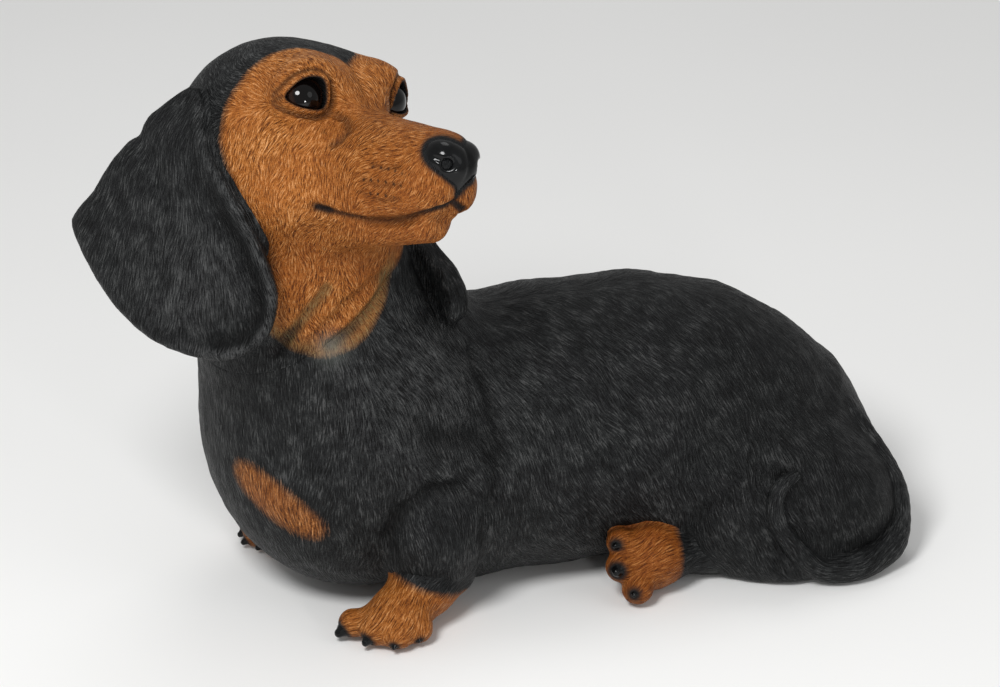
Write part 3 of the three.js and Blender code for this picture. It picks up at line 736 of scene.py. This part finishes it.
# A pale spot under the throat, a painted highlight, and a lighter one on the chest, a painted highlight
# too: the middle and the reach.
PALE_SPOT, PALE_REACH = (-28, -60, 157), 7
SHEEN_SPOT, SHEEN_REACH = (20, -66, 128), 42
# A fold is fully painted at this depth.
FULL_DEPTH = 2.2


def tan_on_face(q):
    around = np.arctan2(np.abs(q[:, 1]), q[:, 2])
    side = 0.85 * (q[:, 0] - np.interp(around, BORDER_ANGLES, BORDER))
    return np.minimum(side, -egg(q, *FACE_REACH))


def tan_on_body(p, throat):
    """How far inside the tan markings a point lies, below 0 in the black coat."""
    face_side = tan_on_face(on_head(p))
    patch = -egg(near_side(p), *CHEST_PATCH, PATCH_AXES)
    return np.maximum(np.maximum(face_side, throat), np.minimum(patch * 0.5, 0.8))


def no_paint(p):
    return {}


def body_paint(p):
    throat = -egg(p, *TAN_THROAT)
    tan = tan_on_body(p, throat)
    deep = np.clip(-plain_body(p) / FULL_DEPTH, 0, 1)
    # The middle fold of the throat stays tan.
    folds = np.minimum(path(p, THROAT[0]), path(p, THROAT[2]))
    low = np.clip((198 - p[:, 2]) / 8, 0, 1)
    in_fold = near_line(folds - 3, 2)
    # The outer throat folds are painted dark, olive and black, deepest in their grooves: partly paint,
    # partly painted shade.
    fold_paint_and_shade = in_fold * deep
    edge = 0.8 * np.exp(-(((throat - 1) / 5) ** 2)) + fold_paint_and_shade * (throat > -6)
    uncut = np.clip((p[:, 2] - 164) / 4, 0, 9)
    # The coat darkens towards the rump.
    rump_shade = 0.55 * np.clip((p[:, 0] - 100) / 120, 0, 1)
    # Painted shade deep in the grooves, weaker in the painted throat folds and on the tan throat.
    shaded_fold = deep * (1 - 0.6 * in_fold) * np.where(throat > -2, 0.5, 1)
    return {
        "tan": np.minimum(tan, 1.5 - 2.4 * fold_paint_and_shade + uncut),
        "wash": np.minimum(edge, 1) * low,
        "pale": np.exp(-((ball(p, PALE_SPOT, 0) / PALE_REACH) ** 2)),
        "stain": 0.15 * fold_paint_and_shade,
        "rust": np.full(len(p), 0.3),
        "dust": 0.35 * np.exp(-((ball(p, SHEEN_SPOT, 0) / SHEEN_REACH) ** 2)) * (1 - deep),
        # The crease mask carries the painted shade of the grooves and the darkening towards the rump.
        "crease": np.maximum(shaded_fold, rump_shade),
    }


def near_line(distance, width):
    """Full paint on a line, fading away from it."""
    return np.exp(-((np.maximum(distance, 0) / width) ** 2))


def head_paint(p):
    q = on_head(p)
    m = fold(q)
    paint = body_paint(p)
    gap, ahead = lid_gap(q)[:2]
    rim = near_line(gap, 0.9) * (ahead > 0)
    # Dark brown lines along the lid's crease, the mouth, the eye's corners and bag and the whisker rows;
    # those of the mouth and bag darken where their grooves are deep, the mouth's line turning black at the
    # front and where deep. Partly paint, partly painted shade.
    crease = near_line(np.abs(gap - 3.6), 1.0) * 0.55 * (ahead > 0)
    deep = -head_form(q)
    mouth = near_line(path(m, LIPS) - 5, 1) * np.clip((deep - 0.8) / 1.2, 0, 1)
    corners = near_line(path(m, CORNER), 1.4) * 0.7
    bag = near_line(path(m, BAG) - 3, 1) * np.clip(deep / 2.0, 0, 1) * 0.7
    rows = near_line(np.min([path(m, row) for row in ROWS], axis=0), 1.0) * 0.3
    front = np.clip((q[:, 0] - 108) / 6, 0, 1)
    round_nose = near_line(nose_block(q) - 0.8, 1.1)
    under_nose = near_line(path(q, PHILTRUM) - 0.6, 1.3)
    dark_mouth = mouth * np.maximum(front, np.clip(deep - 1.6, 0, 0.8))
    paint["stain"] = np.max([paint["stain"], mouth, crease, corners, bag, rows], axis=0)
    paint["ink"] = np.max([rim, round_nose, under_nose, dark_mouth], axis=0)
    paint["rust"] = 0.55 * np.clip(np.maximum((q[:, 0] - 52) / 20, (-30 - q[:, 2]) / 16), 0, 1)
    paint["face"] = q
    return paint


def foot_paint(foot, sleeve, rust):
    def paint(p):
        nails = foot.claws(p)
        return {
            "rust": np.full(len(p), rust),
            "tan": sleeve(p),
            "ink": near_line(nails - 0.2, 1.3),
        }

    return paint


# ---------------------------------------------------------------- node tools
COAT_ROUGHNESS = 0.03


class Paint:
    """A procedural material, with short names for the nodes it is made of."""

    def __init__(self, name):
        self.material = bpy.data.materials.new(name)
        self.material.use_nodes = True
        self.tree = self.material.node_tree
        self.shader = self.tree.nodes["Principled BSDF"]
        place = self.add("ShaderNodeTexCoord").outputs["Object"]
        self.place = self.vector("MULTIPLY", place, (1 / MM,) * 3)

    def add(self, kind, values=None, **settings):
        node = self.tree.nodes.new(kind)
        for key, value in settings.items():
            setattr(node, key, value)
        for key, value in (values or {}).items():
            self.feed(node.inputs[key], value)
        return node

    def feed(self, socket, value):
        if isinstance(value, bpy.types.NodeSocket):
            self.tree.links.new(value, socket)
        else:
            socket.default_value = value

    def math(self, operation, *values):
        inputs = dict(enumerate(values))
        return self.add("ShaderNodeMath", inputs, operation=operation).outputs[0]

    def square(self, value):
        return self.math("MULTIPLY", value, value)

    def vector(self, operation, *values):
        inputs = dict(enumerate(values))
        return self.add("ShaderNodeVectorMath", inputs, operation=operation).outputs["Vector"]

    def number(self, name):
        return self.add("ShaderNodeAttribute", attribute_name=name).outputs["Fac"]

    def arrow(self, name):
        return self.add("ShaderNodeAttribute", attribute_name=name).outputs["Vector"]

    def noise(self, size, detail=2.0, at=None):
        place = self.place if at is None else at
        values = {"Vector": place, "Scale": 1 / size, "Detail": detail}
        return self.add("ShaderNodeTexNoise", values).outputs["Fac"]

    def ramp(self, value, stops):
        node = self.add("ShaderNodeValToRGB", {"Fac": value})
        line = node.color_ramp
        while len(line.elements) < len(stops):
            line.elements.new(0.5)
        for element, (position, color) in zip(line.elements, stops):
            element.position = position
            element.color = (*color, 1)
        return node.outputs["Color"]

    def mix(self, share, a, b, way="MIX"):
        node = self.add("ShaderNodeMix", {"Factor": share}, data_type="RGBA", blend_type=way)
        for socket, value in ((node.inputs[6], a), (node.inputs[7], b)):
            self.feed(socket, (*value, 1) if isinstance(value, tuple) else value)
        return node.outputs[2]

    def spread(self, value, low, high, to_low=0.0, to_high=1.0):
        values = {0: value, 1: low, 2: high, 3: to_low, 4: to_high}
        return self.add("ShaderNodeMapRange", values).outputs[0]

    def relief(self, height, depth, strength=1.0, below=None):
        values = {"Height": height, "Distance": depth * MM, "Strength": strength}
        if below is not None:
            values["Normal"] = below
        return self.add("ShaderNodeBump", values).outputs["Normal"]

    def hairs(self, size, reach, count):
        """Noise drawn out along the lay of the hair, centred on 0.5."""
        lay = self.arrow("lay")
        total = None
        for i in range(count):
            step = (i / (count - 1) - 0.5) * reach
            spot = self.vector("MULTIPLY_ADD", lay, (step,) * 3, self.place)
            value = self.noise(size, 1.0, spot)
            total = value if total is None else self.math("ADD", total, value)
        return self.math("MULTIPLY", total, 1 / count)

    def finish(self, color, roughness, normal, specular, coat=0.0):
        self.feed(self.shader.inputs["Base Color"], color)
        self.feed(self.shader.inputs["Roughness"], roughness)
        self.feed(self.shader.inputs["Normal"], normal)
        self.shader.inputs["Specular IOR Level"].default_value = specular
        self.shader.inputs["Coat Weight"].default_value = coat
        self.shader.inputs["Coat Roughness"].default_value = COAT_ROUGHNESS
        return self.material


# ---------------------------------------------------------------- materials
BLACK_STOPS = [
    (0.0, (0.002, 0.002, 0.002)), (0.4, (0.007, 0.0075, 0.008)),
    (0.7, (0.017, 0.018, 0.018)), (1.0, (0.052, 0.053, 0.053)),
]
TAN_STOPS = [
    (0.0, (0.055, 0.014, 0.003)), (0.3, (0.22, 0.068, 0.011)),
    (0.6, (0.37, 0.130, 0.024)), (1.0, (0.64, 0.31, 0.12)),
]
DUST_AND_SHEEN_GREY = (0.085, 0.086, 0.086)
DEEP_TAN = (0.30, 0.085, 0.014)
RUST_TINT = (0.62, 0.52, 0.36)
OLIVE_WASH = (0.11, 0.105, 0.045)
PALE_HIGHLIGHT = (0.20, 0.215, 0.19)
WHISKER_PIT = (0.03, 0.012, 0.005)
BROWN_STAIN_AND_SHADE = (0.022, 0.009, 0.005)
BLACK_INK = (0.006, 0.0065, 0.007)
BLACK_SHADE = (0.002, 0.002, 0.002)


def coat(name, markings=False, whiskers=False, width=0.7, reach=3.0):
    """Painted, engraved hair: black, with tan markings where the attribute says."""
    paint = Paint(name)
    fine = paint.hairs(width, reach, 7)
    fine = paint.spread(fine, 0.40, 0.60)
    broad = paint.noise(9, 2)
    patch = paint.noise(32, 1)
    black_fac = paint.math("MULTIPLY_ADD", paint.math("SUBTRACT", broad, 0.5), 1.1, fine)
    black = paint.ramp(black_fac, BLACK_STOPS)
    # A lighter grey on the raised hairs: partly dry-brushed paint, partly a painted highlight.
    dust = paint.math("MULTIPLY", paint.number("dust"), paint.spread(black_fac, 0.2, 0.9))
    black = paint.mix(dust, black, DUST_AND_SHEEN_GREY)
    color = black
    if markings:
        # The tan runs from dark brown in the hairs' grooves to light peach on their ridges: partly paint,
        # partly painted shade and highlight.
        tan_fac = paint.math("MULTIPLY_ADD", paint.math("SUBTRACT", broad, 0.5), 0.35, fine)
        tan = paint.ramp(tan_fac, TAN_STOPS)
        tan = paint.mix(paint.spread(patch, 0.35, 0.65, 0.0, 0.35), tan, DEEP_TAN)
        tan = paint.mix(paint.number("rust"), tan, RUST_TINT, "MULTIPLY")
        wash = paint.math("MULTIPLY", paint.number("wash"), paint.spread(fine, 0.2, 0.9, 0.25, 0.85))
        tan = paint.mix(wash, tan, OLIVE_WASH)
        edge = paint.math("MULTIPLY_ADD", fine, 1.6, -0.8)
        edge = paint.math("ADD", edge, paint.number("tan"))
        share = paint.spread(edge, -2.0, 2.0)
        color = paint.mix(share, black, tan)
        # A pale grey-green painted highlight.
        color = paint.mix(paint.math("MULTIPLY", paint.number("pale"), 0.45), color, PALE_HIGHLIGHT)
        if whiskers:
            color = paint.mix(paint.math("MULTIPLY", whisker_dots(paint), share), color, WHISKER_PIT)
        # Brown lines and darkened folds: partly paint, partly painted shade in the grooves.
        color = paint.mix(paint.number("stain"), color, BROWN_STAIN_AND_SHADE)
        color = paint.mix(paint.number("ink"), color, BLACK_INK)
    else:
        # On a black coat the same mask paints shade, in the near ear's furrow.
        color = paint.mix(paint.number("stain"), color, BLACK_SHADE)
    # Painted shade darkens the coat in its hollows, deep in its creases and where pieces meet; the same
    # mask darkens it towards the rump.
    shade = paint.spread(paint.number("hollow"), 0.0, 1.0, 1.0, 0.45)
    gray = paint.add("ShaderNodeCombineColor", {0: shade, 1: shade, 2: shade}).outputs[0]
    color = paint.mix(1.0, color, gray, "MULTIPLY")
    roughness = paint.spread(fine, 0.0, 1.0, 0.60, 0.38)
    grain = paint.relief(paint.noise(0.7, 2), 0.08, 0.5)
    return paint.finish(color, roughness, paint.relief(fine, 0.6, 1.0, grain), specular=0.14)


# The middle and half-size of the whisker bed in the head's frame, and its pits' spacing.
WHISKER_X, WHISKER_Z = 92.0, -21.5
WHISKER_LENGTH, WHISKER_HEIGHT = 13.0, 9.5
PIT_STEP, PIT_ROW = 4.6, 6.2


def whisker_dots(paint):
    """Rows of small dark pits on the sides of the muzzle."""
    x, _, z = paint.add("ShaderNodeSeparateXYZ", {0: paint.arrow("face")}).outputs[:3]
    ahead = paint.math("SUBTRACT", x, WHISKER_X)
    row = paint.math("MULTIPLY_ADD", ahead, 0.16, z)
    row = paint.math("ADD", row, paint.math("POWER", paint.math("MULTIPLY", ahead, 0.075), 2.0))

    def to_nearest(value, step):
        part = paint.math("FRACT", paint.math("MULTIPLY", value, 1 / step))
        return paint.math("MULTIPLY", paint.math("SUBTRACT", part, 0.5), step)

    gap_x = to_nearest(x, PIT_STEP)
    gap_z = to_nearest(row, PIT_ROW)
    far = paint.math("SQRT", paint.math("ADD", paint.square(gap_x), paint.square(gap_z)))
    dot = paint.spread(far, 0.45, 1.1, 1.0, 0.0)
    reach_x = paint.math("MULTIPLY", ahead, 1 / WHISKER_LENGTH)
    reach_z = paint.math("MULTIPLY", paint.math("SUBTRACT", z, WHISKER_Z), 1 / WHISKER_HEIGHT)
    window = paint.math("ADD", paint.square(reach_x), paint.square(reach_z))
    return paint.math("MULTIPLY", dot, paint.spread(window, 0.8, 1.1, 0.8, 0.0))


def nose_glaze():
    """Thick black glaze over a pebbled skin."""
    paint = Paint("nose_glaze")
    cells = paint.add("ShaderNodeTexVoronoi", {"Vector": paint.place, "Scale": 0.9})
    pebbles = cells.outputs["Distance"]
    stops = [(0.3, (0.001, 0.001, 0.001)), (0.75, (0.005, 0.0055, 0.006))]
    color = paint.ramp(paint.noise(6, 3), stops)
    roughness = paint.spread(paint.noise(8, 2), 0.35, 0.65, 0.12, 0.26)
    return paint.finish(color, roughness, paint.relief(pebbles, 0.18, 0.35), specular=0.08, coat=0.3)


def eye_glass():
    """A dark glass eye: a brown iris that barely shows under clear, wet-looking glass."""
    paint = Paint("eye_glass")
    iris = paint.number("iris")
    rays = paint.noise(1.2, 2)
    stops = [
        (0.0, (0.001, 0.001, 0.001)), (0.62, (0.002, 0.001, 0.001)),
        (0.75, (0.016, 0.006, 0.003)), (0.95, (0.003, 0.002, 0.002)),
    ]
    color = paint.ramp(paint.math("MULTIPLY_ADD", rays, 0.12, iris), stops)
    return paint.finish(color, 0.07, paint.relief(paint.noise(9, 1), 0.02, 0.2), specular=0.05, coat=0.5)


def felt():
    """Green felt: short matted fibres."""
    paint = Paint("green_felt")
    fibres = paint.noise(0.5, 4)
    color = paint.ramp(fibres, [(0.3, (0.010, 0.045, 0.018)), (0.7, (0.035, 0.110, 0.050))])
    roughness = paint.spread(fibres, 0.3, 0.7, 0.85, 1.0)
    return paint.finish(color, roughness, paint.relief(fibres, 0.4, 0.8), specular=0.2)


# ---------------------------------------------------------------- pieces
SHADE_REACH = 6.0
SEAM_FADE = 4.0
SEAM_OVERLAP = 6.0


def whole(p):
    """The outside of the whole figurine, for the painted shade in its hollows and where its pieces meet."""
    parts = [body(p), ear_right(p), ear_left(p), tail(p)]
    parts += [foot.form(p) for foot in FEET.values()]
    return np.min(parts, axis=0)


def cut_flat(mesh, point, normal):
    """Keeps what lies behind a plane, and closes the cut."""
    work = bmesh.new()
    work.from_mesh(mesh)
    everything = work.verts[:] + work.edges[:] + work.faces[:]
    bmesh.ops.bisect_plane(work, geom=everything, plane_co=point, plane_no=normal, clear_outer=True)
    rim = [e for e in work.edges if e.is_boundary]
    caps = bmesh.ops.holes_fill(work, edges=rim, sides=0)["faces"]
    for face_made in caps:
        face_made.smooth = False
    work.to_mesh(mesh)
    work.free()


def piece(name, field, low, high, cell, material, slot, nodes=(), lay=None, paint=no_paint,
          lock=0.35, swirl=0.35, plane=None):
    """Skins a field as one object, combs and paints it."""
    points, quads = skin(field, low, high, cell * COARSE)
    points = settle(field, points)
    mesh = bpy.data.meshes.new(name)
    mesh.from_pydata(((points + SHIFT) * MM).tolist(), [], quads.tolist())
    mesh.polygons.foreach_set("use_smooth", np.ones(len(mesh.polygons), bool))
    if plane is not None:
        point, normal = plane
        cut_flat(mesh, Vector((np.asarray(point) + SHIFT) * MM), Vector(normal))
        corner = np.zeros(len(mesh.vertices) * 3)
        mesh.vertices.foreach_get("co", corner)
        points = corner.reshape(-1, 3) / MM - SHIFT
    values = dict(paint(points))
    if lay is not None:
        normal = unit(slope(field, points))
        way = comb(points, normal, lay(points), swirl)
        values["lay"] = way
        # Painted shade where the figurine's surfaces lie close above the skin, in hollows and where pieces
        # meet, joined with the creases' painted shade.
        room = in_chunks(whole, points + normal * SHADE_REACH)
        crevice_shade = np.clip((SHADE_REACH - room) / SHADE_REACH, 0, 1) ** 1.3
        values["hollow"] = np.maximum(crevice_shade, values.pop("crease", 0))
        away = np.ones(len(points))
        if plane is not None:
            away = np.clip(np.abs((points - plane[0]) @ unit(plane[1])) / SEAM_FADE, 0, 1)
        points = points + normal * (tufts(points, way) * 2 * lock * away)[:, None]
        mesh.vertices.foreach_set("co", ((points + SHIFT) * MM).ravel())
    for key, value in values.items():
        kind, member = ("FLOAT_VECTOR", "vector") if value.ndim == 2 else ("FLOAT", "value")
        attribute = mesh.attributes.new(key, kind, "POINT")
        attribute.data.foreach_set(member, value.astype(np.float32).ravel())
    mesh.materials.append(material)
    mesh.update()
    thing = bpy.data.objects.new(name, mesh)
    bpy.context.scene.collection.objects.link(thing)
    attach(thing, "root")
    if nodes:
        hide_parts(*nodes)


SEAM_POINT = np.array([-10.0, -56.0, 173.0])
SEAM_NORMAL = unit((-0.555, -0.204, 0.807))


def seam_side(p):
    return (p - SEAM_POINT) @ SEAM_NORMAL


def head_side(p):
    return np.maximum(body(p), -seam_side(p) - SEAM_OVERLAP)


def body_side(p):
    return np.maximum(body(p), seam_side(p) - SEAM_OVERLAP)


black_coat = coat("black_coat")
marked_coat = coat("marked_coat", markings=True)
face_coat = coat("face_coat", markings=True, whiskers=True, width=0.64, reach=2.1)
glaze = nose_glaze()

# The space that each piece is looked for in: its low and its high corner.
TORSO_BOX = ((-90, -104, -4), (284, 102, 236))
HEAD_BOX = ((-96, -134, 130), (60, 70, 304))
NEAR_EAR_BOX = ((-150, -100, 116), (-8, 54, 284))
FAR_EAR_BOX = ((-52, -84, 110), (110, 110, 280))
TAIL_BOX = ((176, -120, -4), (300, 8, 94))

piece("torso", body_side, *TORSO_BOX, 2.1, marked_coat, "torso_coat", ["torso_shell"],
      body_lay, body_paint, plane=(SEAM_POINT, SEAM_NORMAL))
piece("head", head_side, *HEAD_BOX, 1.1, face_coat, "head_coat", ["head_shell"],
      head_lay, head_paint, lock=0.15, swirl=0.75, plane=(SEAM_POINT, -SEAM_NORMAL))
piece("ear_near", joined(ear_right, body, 9), *NEAR_EAR_BOX, 1.3, black_coat, "ear_coat",
      ["ear_right"], ear_right_lay, ear_right_paint, lock=0.25)
piece("ear_far", joined(ear_left, body, 7), *FAR_EAR_BOX, 1.6, black_coat, "ear_coat",
      ["ear_left"], ear_left_lay)
piece("tail_curl", joined(tail, body, 2), *TAIL_BOX, 1.4, black_coat, "tail_coat",
      ["tail"], tail_lay, lock=0.1)


def fore_sleeve(p):
    """Below 0 where the black sleeve covers a fore paw: above a sloping line."""
    return 0.9 * (31 - 0.43 * (p[:, 0] + 1.4) - p[:, 2])


def hind_sleeve(p):
    """Below 0 where the black sleeve covers a hind paw: behind its heel."""
    return 148 - p[:, 0]


for foot_name, foot in FEET.items():
    fore = foot_name.startswith("fore")
    reach = (-58, 50) if fore else (104, 200)
    far = foot_name.endswith("right")
    across = (24, 94) if far else (-106, -36)
    low = (reach[0], across[0], -2)
    high = (reach[1], across[1], 48)
    sleeve = fore_sleeve if fore else hind_sleeve
    piece(foot_name, joined(foot.form, body, 4), low, high, 1.1, marked_coat, "paw_coat", [foot_name],
          foot.lay, foot_paint(foot, sleeve, 0.4 if fore else 0.95), lock=0.2)
    piece(foot_name + "_claws", foot.claws, low, high, 0.8, glaze, "nose_glaze")


def on_row(field):
    """A field of the head's own frame as a field of the figurine's frame."""
    return lambda p: field(on_head(p))


NOSE_REACH = 24
EYE_REACH = 17
nose_middle = HEAD_MIDDLE + np.array([116, 0, -13]) @ HEAD
piece("nose_tip", on_row(nose_form), nose_middle - NOSE_REACH, nose_middle + NOSE_REACH, 0.7, glaze,
      "nose_glaze", ["nose"])


def eyeball(q, side):
    """A glass ball with a slight bulge at the cornea."""
    eye = np.array([EYE[0], EYE[1] * side, EYE[2]])
    look = unit(np.multiply(EYE_LOOK, (1, side, 1)))
    return blend(ball(q, eye, EYE_RADIUS), ball(q, eye + look * 4.2, EYE_RADIUS - 3.8), 3)


glass = eye_glass()
for side, node in ((1, "eye_left"), (-1, "eye_right")):
    middle = HEAD_MIDDLE + np.array([EYE[0], EYE[1] * side, EYE[2]]) @ HEAD
    look = unit(np.multiply(EYE_LOOK, (1, side, 1)) @ HEAD)

    def iris(p, middle=middle, look=look):
        return {"iris": np.arccos(np.clip(unit(p - middle) @ look, -1, 1))}

    form = on_row(lambda q, side=side: eyeball(q, side))
    piece(node, form, middle - EYE_REACH, middle + EYE_REACH, 0.7, glass, "eye_glass", [node],
          paint=iris)

pad_felt = felt()
for node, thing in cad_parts.items():
    if node.startswith("felt"):
        thing.data.materials.clear()
        thing.data.materials.append(pad_felt)

# ---------------------------------------------------------------- stage, light and camera
CAMERA_AZIMUTH = math.radians(-20)
CAMERA_ELEVATION = math.radians(25)
CAMERA_DISTANCE = 2.40
CAMERA_LENS = 172.8
CAMERA_TARGET = Vector((np.array([76.7, -10.0, 119.9]) + SHIFT) * MM)


def looking_from(azimuth, elevation):
    return Vector((
        math.sin(azimuth) * math.cos(elevation),
        -math.cos(azimuth) * math.cos(elevation),
        math.sin(elevation),
    ))


back = looking_from(CAMERA_AZIMUTH, CAMERA_ELEVATION)
camera = bpy.data.objects.new("camera", bpy.data.cameras.new("camera"))
camera.data.lens = CAMERA_LENS
camera.data.clip_start = 0.05
camera.location = CAMERA_TARGET + back * CAMERA_DISTANCE
camera.rotation_mode = "QUATERNION"
camera.rotation_quaternion = (-back).to_track_quat("-Z", "Y")
bpy.context.scene.collection.objects.link(camera)
bpy.context.scene.camera = camera

FLOOR_HALF = 6.0
floor_mesh = bpy.data.meshes.new("floor")
floor_corners = [(FLOOR_HALF * x, FLOOR_HALF * y, 0) for x, y in ((-1, -1), (1, -1), (1, 1), (-1, 1))]
floor_mesh.from_pydata(floor_corners, [], [(0, 1, 2, 3)])
floor = bpy.data.objects.new("floor", floor_mesh)
floor_paint = Paint("floor_paper")
paper = floor_paint.noise(400, 2)
floor_mesh.materials.append(floor_paint.finish(
    floor_paint.ramp(paper, [(0.3, (0.88, 0.88, 0.87)), (0.7, (0.90, 0.90, 0.89))]),
    0.9, floor_paint.relief(paper, 0.1, 0.1), specular=0.1,
))
bpy.context.scene.collection.objects.link(floor)

world = bpy.data.worlds.new("studio")
bpy.context.scene.world = world
world.use_nodes = True
sky = world.node_tree.nodes["Background"]
sky.inputs["Color"].default_value = (1.0, 1.0, 1.0, 1)
sky.inputs["Strength"].default_value = 0.42

SOFTBOXES = {
    # name: (azimuth, elevation, distance, size, watts)
    "key": (-42, 45, 1.6, 0.5, 18),
    "fill": (35, 30, 1.9, 0.9, 2),
    "top": (150, 65, 1.6, 0.8, 3.5),
    "spark": (0, 5, 1.3, 0.14, 3),
}
for name, (azimuth, elevation, distance, size, watts) in SOFTBOXES.items():
    lamp = bpy.data.lights.new(name, "AREA")
    lamp.shape = "DISK"
    lamp.size = size
    lamp.energy = watts
    thing = bpy.data.objects.new(name, lamp)
    aim = looking_from(math.radians(azimuth), math.radians(elevation))
    thing.location = CAMERA_TARGET + aim * distance
    thing.rotation_mode = "QUATERNION"
    thing.rotation_quaternion = (-aim).to_track_quat("-Z", "Y")
    bpy.context.scene.collection.objects.link(thing)

bpy.context.scene.view_settings.view_transform = "Standard"
